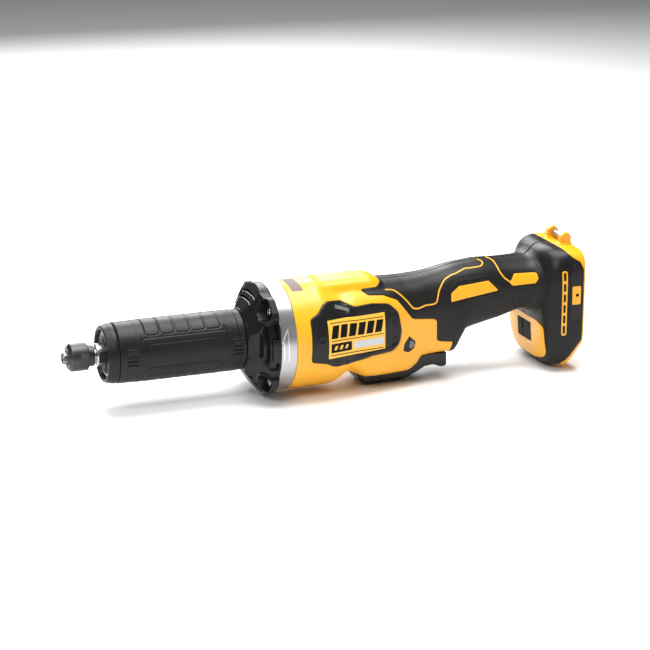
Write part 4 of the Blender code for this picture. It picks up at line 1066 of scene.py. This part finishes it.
def housings():
    pockets = [side_outline(GRIP_OUTLINE), side_outline(PANEL_OUTLINE)]
    drop = service_hole()
    steep = np.array([(np.interp(x, FORM.x, FORM.u), v)
                      for x, v in ((168.6, -90), (180.0, -90), (180.0, 60), (168.6, 60))])
    for (name, side), holes in zip(SIDES, ([drop], [])):
        points, faces = skin(FORM, housing_outline(), edge=0.35, depth=3.4, holes=holes,
                             pockets=pockets, floor=-POCKET_DEPTH, step=1.8, fine=[(steep, 0.9)])
        add_piece(name + "_shell", mirrored(points, side), faces, "yellow",
                  stands_for=[name + "_housing"])
    ribbed = turned_left(FORM.by_height(RIBBED_FIELD))
    rubber = skin(FORM, side_outline(GRIP_OUTLINE, gap=SKIN_GAP), height=0.25, edge=0.6,
                  depth=POCKET_DEPTH - 0.1, step=1.6, relief=grip_relief,
                  fine=[(ribbed, 0.6), (steep, 0.6)])
    both_sides("rubber", *rubber, "rubber", stands_for="grip", sharp=60)
    panel = skin(FORM, side_outline(PANEL_OUTLINE, gap=SKIN_GAP), height=0.92, edge=1.0,
                 depth=POCKET_DEPTH - 0.1, step=0.7, relief=panel_relief)
    both_sides("panel", *panel, "black", stands_for="side_panel", sharp=60)


# ---------------------------------------------------------------- panel relief
TOP_LOUVRE = ((-1.6, 26.0), (9.0, 22.6))
LOW_LOUVRE = ((-3.4, -14.6), (6.4, -15.6))
BOSS_PLACE, BOSS_RADIUS = (-15.6, 4.6), 3.6
COLUMN_X, COLUMN_Z = 45.6, (-6.6, 16.8)
COLUMN_BARS = ((0.04, 0.16), (0.27, 0.72), (0.82, 0.95))       # shares of the column's height
LOUVRE_HALF = 1.2


def uv_of(xz):
    return FORM.by_height(np.array([xz], float))[0]


def panel_relief(flat, near):
    """A raised rim inside the edge, sunk louvre slots, a round boss, a column of slots."""
    lift = -0.45 * step_up(-(near - 3.4), 1.2)
    for start, end in (TOP_LOUVRE, LOW_LOUVRE):
        a, b = uv_of(start), uv_of(end)
        along = (b - a) / np.linalg.norm(b - a)
        middle = (a + b) / 2
        x = (flat - middle) @ along
        y = (flat - middle) @ np.array([-along[1], along[0]])
        half = np.linalg.norm(b - a) / 2
        box = rounded_box(x, y, (-half, -1.7), (half, 1.7), 0.6)
        lift += 0.35 * step_up(np.abs(box - 0.9) - 0.3, 0.6) - 0.7 * step_up(box, 0.6)
    away = np.linalg.norm(flat - uv_of(BOSS_PLACE), axis=1)
    lift += 0.42 * step_up(away - BOSS_RADIUS, 0.8) - 0.6 * step_up(away - 1.9, 0.7)
    lift += 0.25 * step_up(away - 0.9, 0.5)
    low, high = uv_of((COLUMN_X, COLUMN_Z[0])), uv_of((COLUMN_X, COLUMN_Z[1]))
    u, v = flat[:, 0], flat[:, 1]
    column = rounded_box(u, v, (low[0] - 2.3, low[1] - 1), (low[0] + 2.3, high[1] + 1), 1.0)
    lift -= 0.45 * step_up(column, 0.6)
    for start, end in COLUMN_BARS:
        bar = rounded_box(u, v, (low[0] - 1.0, low[1] + (high[1] - low[1]) * start),
                          (low[0] + 1.0, low[1] + (high[1] - low[1]) * end), 0.4)
        lift += 0.4 * step_up(bar, 0.5)
    return lift


def laid(corners, radius=2.0, step=0.8):
    """An outline given from the side, laid on the body form."""
    return turned_left(divided(FORM.by_height(divided(filleted(corners, radius), step)), step))


def plate(name, corners, look, height, depth=0.5, edge=0.2, radius=0.5, step=1.6, holes=(),
          stands_for=None, relief=None):
    """A thin plate on the body form, on both sides, with its outline given from the side."""
    sheet = skin(FORM, laid(corners, radius), height=height, edge=edge, depth=depth, step=step,
                 holes=[laid(hole, 0.5, 0.5) for hole in holes], relief=relief)
    both_sides(name, *sheet, look, stands_for=stands_for)


def box_corners(x0, x1, z0, z1):
    return [(x0, z0), (x1, z0), (x1, z1), (x0, z1)]


def louvres():
    """The vent strips sunk in the panel's upper and lower bumps; the upper strip is grey as a
    painted highlight, the lower one black.
    """
    for name, (start, end), look in (("upper_louvre_painted_highlight", TOP_LOUVRE, "grey"),
                                     ("lower_louvre", LOW_LOUVRE, "black")):
        (x0, z0), (x1, z1) = start, end
        corners = [(x0, z0 - LOUVRE_HALF), (x1, z1 - LOUVRE_HALF), (x1, z1 + LOUVRE_HALF),
                   (x0, z0 + LOUVRE_HALF)]
        plate(name, corners, look, 0.62, 0.5, 0.15, 0.4, 1.0)


BADGE_TILT = 0.014            # how much the rows fall for each millimetre along x
BADGE_CORNERS = [(-10.6, -10.0, 0.6), (37.2, -9.4, 0.6), (37.2, 18.0, 0.6), (-10.6, 18.0, 0.6)]
BADGE_X = (-9.0, 35.8)        # where the rows start and end


def slanted(x0, x1, z0, z1, lean=0.0):
    """A bar of the badge, its upper side moved along by the lean."""
    return [(x0, z0 - BADGE_TILT * x0), (x1, z0 - BADGE_TILT * x1),
            (x1 + lean, z1 - BADGE_TILT * x1), (x0 + lean, z1 - BADGE_TILT * x0)]


def badge():
    """An amber plate with plain bars: hatching above, a black box and a silver band below."""
    low, high = BADGE_X
    plate("badge_plate", BADGE_CORNERS, "amber", 1.05, 1.2, 0.25, stands_for="badge")
    for index, (z0, z1) in enumerate(((15.4, 15.9), (2.9, 3.4), (-7.9, -7.3))):
        plate(f"badge_line_{index + 1}", slanted(low, high, z0, z1), "ink",
              1.12, 0.3, 0.03, 0.1, 1.2)
    for index in range(6):
        start = low + 7.4 * index
        plate(f"badge_bar_{index + 1}", slanted(start, start + 5.6, 4.9, 13.9, 2.0), "ink",
              1.14, 0.3, 0.05, 0.3, 1.4)
    plate("badge_box", slanted(low, 8.4, -5.6, 1.2), "ink", 1.14, 0.3, 0.05, 0.3, 1.6)
    for index in range(3):
        start = -6.8 + 4.6 * index
        plate(f"badge_mark_{index + 1}", slanted(start, start + 2.2, -3.6, -0.6, 1.2), "amber",
              1.20, 0.3, 0.03, 0.1, 1.0)
    plate("badge_band", slanted(10.2, high, -4.8, 0.4), "band", 1.14, 0.3, 0.05, 0.3, 1.6)


# ---------------------------------------------------------------- lines and insets of the grip
UPPER_LINE = [(42.6, 58.6), (48.9, 58.1), (53.3, 50.4), (58.3, 41.0), (62.4, 31.4), (71.9, 26.8),
              (82.4, 26.7), (85.4, 44.3), (91.9, 58.9), (100.4, 65.0), (115.2, 61.6),
              (124.2, 60.3), (127.2, 68.0), (126.7, 76.5), (124.8, 84.0)]
LOOP_LINE = [(134.5, 89.6), (136.4, 76.0), (136.6, 60.0), (137.2, 43.4), (139.9, 30.6),
             (144.6, 20.6)]
TAB = [(143.9, 27.2, 0.6), (148.4, 33.6, 1), (166.2, 33.6, 1.6), (166.8, 29.0, 1.6),
       (164.4, 25.8, 1.6), (146.6, 25.2, 1.4)]
INSET = [(94.9, 17.8, 0.8), (95.4, 24.0, 2.4), (102.4, 28.6, 3.0), (126.8, 30.6, 1.6),
         (134.6, 22.6, 0.8)]
LINE_WIDTH = 1.15


def grip_details():
    for name, line in (("upper_line", UPPER_LINE), ("loop_line", LOOP_LINE)):
        path = eased([tuple(p) for p in FORM.by_angle(line)], 3.0, 0.6)
        outline = turned_left(divided(stroke(path, LINE_WIDTH), 0.6))
        both_sides(name, *skin(FORM, outline, height=0.55, edge=0.25, depth=0.3, step=0.9),
                   "yellow")
    plate("grip_tab", TAB, "yellow", 0.75, 0.4, 0.4, 1.0,
          relief=lambda flat, near: -0.22 * step_up(-(near - 2.0), 0.7))
    plate("grip_inset", INSET, "yellow", 0.55, 0.4, 0.35, 1.0)


def grip_relief(flat, near):
    """The recess round the inset, the fine ribs below it, and the crease behind the handle."""
    x = np.interp(flat[:, 0], FORM.u, FORM.x)
    row, column = FORM.index(flat)
    angle = FORM.angles[row.astype(int), column.astype(int)]
    z = FORM.points[row.astype(int), column.astype(int), 2]
    lift = np.zeros(len(flat))
    inset = turned_left(FORM.by_height(divided(filleted(INSET), 1.0)))
    gap = nearness(flat, [inset])
    gap = np.where(inside(flat, inset), -gap, gap)
    lift -= 0.5 * step_up(gap - 1.1, 1.0)
    below = np.interp(x, (93.0, 95.0, 134.0, 160.0), (16.5, 16.5, 21.0, 17.0))
    field = np.minimum(np.minimum(x - 93.6, 162.0 - x), np.minimum(below - z, angle + 66.0))
    ribs = 0.5 + 0.5 * np.cos(2 * math.pi * x / 2.5)
    lift -= 0.6 * ribs * step_up(-(field - 0.6), 1.2)
    lift -= 0.25 * step_up(np.abs(x - 167.2) - 0.2, 1.1) * np.clip((angle - 20) / 25, 0, 1)
    edge_z = np.interp(x, (94.0, 102.0, 127.0, 139.0), (26.5, 31.5, 33.6, 24.0))
    ridge = step_up(np.abs(z - edge_z) - 0.5, 1.8) * step_up(np.abs(x - 116.0) - 22.0, 2.0)
    lift += 0.35 * ridge
    return lift


# ---------------------------------------------------------------- top label and foot details
LABEL_X = (-31.5, -22.6)
LABEL_START, LABEL_LEFT, LABEL_RIGHT = 0.13, 17.2, 5.5         # distances from the mid-plane
LABEL_LEAN = 1.0              # how far the left end is moved along x
PILL = [(180.9, -14.2, 2), (185.2, -14.2, 2), (185.2, 36.6, 2), (180.9, 36.6, 2)]
PAD = [(187.6, -2.0, 1.5), (187.6, 33.5, 3), (189.0, 38.6, 2.6), (191.6, 41.0, 2.6),
       (194.4, 40.4, 2.6), (196.2, 36.5, 3), (196.9, 30.0, 2), (196.9, -2.0, 1.5)]
TAG = [(189.2, 9.8, 1.3), (196.3, 9.8, 1.3), (196.3, 24.2, 1.3), (189.2, 24.2, 1.3)]


def top_label():
    """The label bends over the motor head, a little towards the left."""
    low, high = LABEL_X
    for (name, side), width, lean in zip(SIDES, (LABEL_LEFT, LABEL_RIGHT), (LABEL_LEAN, 0)):
        corners = np.array([(low, LABEL_START), (high, LABEL_START), (high + lean, width),
                            (low + lean, width)])
        path = turned_left(divided(FORM.by_width(divided(corners, 0.8), upper=True), 0.8))
        points, faces = skin(FORM, path, height=0.12, edge=0.05, depth=0.3, step=1.6)
        add_piece(f"label_{name}_part", mirrored(points, side), faces, "label", "housing",
                  ["top_label"] if side < 0 else [])


def foot_details():
    slots = [box_corners(182.0, 184.1, z, z + 6.2) for z in np.linspace(-12.6, 29.0, 6)]
    plate("vent_frame", PILL, "yellow", 0.75, 1.2, 0.2, 2.1, 0.8, holes=slots,
          stands_for="vent_grille")
    # A near-black strip behind the vent slots: painted shade in the slots.
    plate("vent_painted_shade", box_corners(181.3, 184.8, -13.6, 36.0), "ink", -0.75, 0.4, 0.0, 1.0, 2.0)
    plate("foot_pad", PAD, "black", 0.85, 0.4, 0.5, 2.0, 1.4)
    plate("foot_tag", TAG, "yellow", 1.25, 0.6, 0.3, 0.8, 1.2)
    # A near-black square on the tag: painted shade for its hole.
    plate("tag_hole_painted_shade", box_corners(191.9, 194.4, 16.0, 18.5), "ink", 1.32, 0.3, 0.05, 1.2, 0.6)


# ---------------------------------------------------------------- front panel of the foot
FRONT_PANEL = [(21.0, -5.2, 4), (29.6, -8.6, 5), (29.9, -33.0, 11), (13.0, -36.4, 11)]
WINDOW_HALF, WINDOW_Z = 11.6, (-25.0, -9.8)
WINDOW_BARS = ((-11.4, -3.6, 1.0), (-3.0, 3.0, 0.7), (3.6, 11.4, 1.0))       # y, y and height


class FrontFace:
    """The front of the foot, read by (y, z): x comes from the body form."""

    def __init__(self):
        rows = (FORM.x > 169.0) & (FORM.x < 184.0)
        self.y = np.linspace(-37.0, 37.0, 149)
        self.z = np.linspace(-41.0, 4.0, 91)
        x = FORM.x[rows]
        sections = [c[:, 0] for c in stations_at(BODY_STATIONS, x)]
        top, bottom, half, upper, lower = [c[:, None, None] for c in sections]
        grid_y, grid_z = np.meshgrid(self.y, self.z, indexing="ij")
        reach = outside(grid_y[None], grid_z[None], top, bottom, half, upper, lower)
        within_form = reach < 0
        first = np.argmax(within_form, axis=0)
        found = within_form.any(axis=0)
        before = np.clip(first - 1, 0, None)
        i, j = np.indices(first.shape)
        a, b = reach[before, i, j], reach[first, i, j]
        share = np.where(a > b, a / np.maximum(a - b, 1e-9), 0)
        self.x = np.where(found, x[before] + (x[first] - x[before]) * np.clip(share, 0, 1), 184.0)
        slope_y = np.gradient(self.x, self.y, axis=0)
        slope_z = np.gradient(self.x, self.z, axis=1)
        self.normals = np.stack([-np.ones_like(slope_y), slope_y, slope_z], axis=2)
        self.normals /= np.linalg.norm(self.normals, axis=2)[:, :, None]

    def read(self, yz):
        i = np.clip((yz[:, 0] - self.y[0]) / (self.y[1] - self.y[0]), 0, len(self.y) - 1.001)
        j = np.clip((yz[:, 1] - self.z[0]) / (self.z[1] - self.z[0]), 0, len(self.z) - 1.001)
        k, m = i.astype(int), j.astype(int)
        a, b = i - k, j - m
        corners = ((1 - a) * (1 - b), (1 - a) * b, a * (1 - b), a * b)
        cells = ((k, m), (k, m + 1), (k + 1, m), (k + 1, m + 1))
        x = sum(w * self.x[c] for w, c in zip(corners, cells))
        normal = sum(w[:, None] * self.normals[c] for w, c in zip(corners, cells))
        return (np.stack([x, yz[:, 0], yz[:, 1]], axis=1),
                normal / np.linalg.norm(normal, axis=1)[:, None])


def front_panel():
    face = FrontFace()
    corners = FRONT_PANEL + [(-y, z, r) for y, z, r in FRONT_PANEL[::-1]]
    outline = turned_left(divided(filleted(corners), 0.8))
    low, high = WINDOW_Z
    window = filleted(box_corners(-WINDOW_HALF, WINDOW_HALF, low, high), 0.8)
    add_piece("foot_label", *skin(face, outline, height=1.2, edge=0.4, depth=0.8, step=1.0,
                                  holes=[turned_left(divided(window, 0.8))]), "yellow")
    for index, (start, end, height) in enumerate(WINDOW_BARS):
        bar = filleted(box_corners(start, end, low + 0.2, high - 0.2), 0.4)
        add_piece(f"foot_window_{index + 1}",
                  *skin(face, turned_left(divided(bar, 0.8)), height=height, edge=0.2, depth=0.5,
                        step=1.0), "ink")


# ---------------------------------------------------------------- service hole and screws
HOLE_SIDE = [(53.6, -14.4, 1.0), (54.6, -9.0, 2.4), (58.8, -3.4, 1.2), (60.6, -5.2, 1.0),
             (64.6, -8.6, 2.0), (63.4, -13.6, 2.4), (58.6, -16.6, 2.4)]
CAP_PROFILE = [(0.0, 0.02, 0), (0.0, 3.0, 0.6), (4.0, 3.0, 0), (4.0, 0.02, 0)]
CAP_PLACE = (60.4, -28.2, -10.6)
SHELL_SCREWS = [(-3.0, -33.6), (58.0, 20.0), (112.0, 14.0)]
SHELL_SCREW = [(-1.6, 0.02, 0), (-1.6, 2.9, 0), (0.45, 2.9, 0.3), (0.45, 1.5, 0.2),
               (-0.9, 1.4, 0), (-0.9, 0.02, 0)]


def service_hole():
    """The dark floor, painted shade for the deep opening, and the grey cap of a drop-shaped
    opening on the left; gives its edge.
    """
    outline = laid(HOLE_SIDE, step=0.5)
    # A black floor just below the opening: painted shade of the deep hole.
    points, faces = skin(FORM, inwards(outline, 0.1), height=-1.9, edge=0.0, depth=0.5, step=1.0)
    add_piece("service_recess_painted_shade", mirrored(points, -1), faces, "black")
    points, faces = turned(rounded_profile(CAP_PROFILE, 0.2, 0.5), 48)
    add_piece("service_cap", points[:, [1, 0, 2]] + np.array(CAP_PLACE), faces, "grey", sharp=35)
    return outline


def shell_screws():
    """The heads of the three shell screws, on the right side."""
    head, faces = turned(rounded_profile(SHELL_SCREW, 0.2, 0.4), 64)
    for index, place_xz in enumerate(SHELL_SCREWS):
        middle, normal = FORM.read(FORM.by_height(np.array([place_xz])))
        across = np.cross(normal[0], (1.0, 0.0, 0.0))
        across /= np.linalg.norm(across)
        along = np.cross(across, normal[0])
        points = middle[0] + head @ np.array([normal[0], across, along])
        add_piece(f"shell_screw_head_{index + 1}", points, faces, "black_steel", sharp=30)


# ---------------------------------------------------------------- paddle and lock-off lever
PADDLE_SIDE = [
    (23.6, -27.4, 0.5), (23.5, -33.6, 2), (24.8, -38.6, 3), (28.0, -42.9, 3), (32.6, -44.2, 4),
    (62.5, -42.9, 8), (73.3, -38.0, 6), (79.0, -35.0, 4), (86.0, -34.4, 6), (92.6, -36.9, 3),
    (96.4, -36.6, 0.6), (96.4, -24.8, 0.6), (76.0, -24.8, 2), (67.0, -31.0, 2), (33.0, -31.0, 1),
    (30.5, -27.4, 0.6),
]
PADDLE_HALF, PADDLE_ROUNDING, PADDLE_TOP = 13.4, 3.0, -15.0
PADDLE_PLAN = [(23.4, -PADDLE_HALF, 6.0), (97.0, -PADDLE_HALF, 1.5), (97.0, PADDLE_HALF, 1.5),
               (23.4, PADDLE_HALF, 6.0)]
UNDERSIDE = ((17.8, 67.0, 76.0, 96.4), (-31.7, -33.0, -30.0, -30.0))    # lies below this line
LEVER_GAP = ((63.0, -4.7, -50.0), (77.2, 4.7, -28.0), 0.8, "z")
PADDLE_HOLLOW = ((34.0, -11.2, -40.6), (61.5, 11.2, -20.0), 1.5, "z")
LEVER_SIDE = [(64.6, -33.4, 1), (66.0, -27.7, 0.8), (69.2, -27.7, 0.8), (69.6, -33.0, 1),
              (75.4, -39.6, 1.2), (73.4, -41.2, 1.2), (66.8, -37.0, 1.2)]
LEVER_HALF = 3.9


def paddle():
    outline = filleted(PADDLE_SIDE)
    blade = solid(*extruded(outline, -PADDLE_HALF, PADDLE_HALF, "y"))
    bottoms = np.array(sorted((p for p in divided(outline, 0.5)
                               if p[1] < np.interp(p[0], *UNDERSIDE)), key=lambda p: p[0]))
    rings, r, half = [], PADDLE_ROUNDING, PADDLE_HALF
    bends = np.linspace(0, math.pi / 2, 9)
    for x in np.linspace(17.2, 97.0, 90):
        base = np.interp(x, bottoms[:, 0], bottoms[:, 1])
        section = [(-half, PADDLE_TOP)]
        section += [(-half + r - r * math.cos(a), base + r - r * math.sin(a)) for a in bends]
        section += [(half - r + r * math.sin(a), base + r - r * math.cos(a)) for a in bends]
        section += [(half, PADDLE_TOP)]
        rings.append(np.array([(x, y, z) for y, z in section]))
    blade = within(blade, solid(*loft(rings)),
                   solid(*extruded(filleted(PADDLE_PLAN), -60, -10, "z")))
    blade = without(blade, solid(*block(*LEVER_GAP)), solid(*block(*PADDLE_HOLLOW)))
    add_piece("paddle_blade", *softened(blade, 0.34, 3, 0.5), "gloss", "paddle", ["paddle"],
              sharp=50)
    lever = solid(*extruded(filleted(LEVER_SIDE), -LEVER_HALF, LEVER_HALF, "y"))
    add_piece("lock_lever", *softened(lever, 0.25, 3, 0.6), "gloss", "lever", ["lock_off_lever"],
              sharp=50)


# ---------------------------------------------------------------- ears and lanyard bar
EAR_SIDE = [(187.6, 46.0, 0), (190.4, 51.5, 2), (190.9, 57.8, 3.2), (193.8, 59.7, 3.2),
            (198.0, 59.7, 2.2), (199.7, 56.6, 2.0), (199.8, 46.0, 0)]
EAR_FOOT = [(187.4, 46.0), (189.6, 51.9), (199.8, 51.9), (199.8, 46.0)]
EAR_Y, EAR_FLANK = (8.6, 13.4), 1.4
BAR_PLACE, BAR_RADIUS, BAR_HALF, BAR_BEVEL = (195.9, 55.2), 2.3, 11.3, 0.5


def ears():
    for name, side in SIDES:
        low, high = sorted((side * EAR_Y[0], side * EAR_Y[1]))
        ear = solid(*extruded(filleted(EAR_SIDE), low, high, "y"))
        flank = solid(*extruded(EAR_FOOT, low - EAR_FLANK, high + EAR_FLANK, "y"))
        add_piece(name + "_ear", *softened(joined(ear, flank), 0.3, 4, 0.5), "yellow", sharp=55)
    half, thin = BAR_HALF - BAR_BEVEL, BAR_RADIUS - BAR_BEVEL
    profile = [(-BAR_HALF, 0.02), (-BAR_HALF, thin), (-half, BAR_RADIUS), (half, BAR_RADIUS),
               (BAR_HALF, thin), (BAR_HALF, 0.02)]
    points, faces = turned(divided(profile, 1.0), 64)
    points = points[:, [1, 0, 2]] + np.array([BAR_PLACE[0], 0, BAR_PLACE[1]])
    add_piece("lanyard_rod", points, faces, "silver", "housing", ["lanyard_bar"], sharp=35)


# ---------------------------------------------------------------- finishes of the CAD nodes
def finish_nodes():
    """Gives every carried-over node the finish of its slot in the record."""
    slots = {part["node"]: part["material_slot"] for part in frame["record"]["subparts"]}
    for name, node in frame["nodes"].items():
        node.data.materials.clear()
        node.data.materials.append(MATERIAL[NODE_LOOKS[slots[name]]])


housings()
badge()
louvres()
grip_details()
top_label()
foot_details()
front_panel()
ears()
shell_screws()
chuck()
boot()
cover()
bracket()
paddle()
finish_nodes()


# ---------------------------------------------------------------- stage, lights and camera
CAMERA_AZIMUTH, CAMERA_ELEVATION, CAMERA_DISTANCE = math.radians(-21), math.radians(17), 1.690
CAMERA_LENS = 124.6
SENSOR_WIDTH = 36.0
TARGET = Vector((0.00225, 0.0, 0.0476))
LIT_PLACE = Vector((0, 0, 0.05))
WORLD_STRENGTH = 0.06
LAMPS = (("key", (-0.85, -0.7, 1.1), 0.6, 11.0), ("fill", (0.9, -1.1, 0.55), 0.5, 1.3),
         ("top", (0.0, 0.1, 1.2), 0.9, 28), ("rim", (0.1, 1.2, 0.75), 0.8, 18))


def stage():
    bpy.ops.mesh.primitive_plane_add(size=8)
    floor = bpy.context.object
    floor.name = "floor"
    white = bpy.data.materials.new("floor_paper")
    white.use_nodes = True
    shader = white.node_tree.nodes["Principled BSDF"]
    shader.inputs["Base Color"].default_value = (0.9, 0.9, 0.9, 1)
    shader.inputs["Roughness"].default_value = 0.9
    floor.data.materials.append(white)


def lights():
    world = bpy.data.worlds.new("studio")
    bpy.context.scene.world = world
    world.use_nodes = True
    background = world.node_tree.nodes["Background"]
    background.inputs["Color"].default_value = (1, 1, 1, 1)
    background.inputs["Strength"].default_value = WORLD_STRENGTH
    for name, at, size, power in LAMPS:
        lamp = bpy.data.lights.new(name, "AREA")
        lamp.energy, lamp.size = power, size
        holder = bpy.data.objects.new(name, lamp)
        holder.location = at
        aim = LIT_PLACE - Vector(at)
        holder.rotation_euler = aim.to_track_quat("-Z", "Y").to_euler()
        bpy.context.scene.collection.objects.link(holder)


def camera():
    a, e = CAMERA_AZIMUTH, CAMERA_ELEVATION
    right = Vector((math.cos(a), math.sin(a), 0))
    up = Vector((-math.sin(a) * math.sin(e), math.cos(a) * math.sin(e), math.cos(e)))
    ahead = up.cross(right)
    lens = bpy.data.cameras.new("camera")
    lens.sensor_width, lens.lens = SENSOR_WIDTH, CAMERA_LENS
    lens.clip_start = 0.01
    holder = bpy.data.objects.new("camera", lens)
    turn = Matrix((right, up, -ahead)).transposed().to_4x4()
    holder.matrix_world = Matrix.Translation(TARGET - ahead * CAMERA_DISTANCE) @ turn
    bpy.context.scene.collection.objects.link(holder)
    bpy.context.scene.camera = holder


stage()
lights()
camera()
bpy.context.scene.view_settings.view_transform = "Standard"
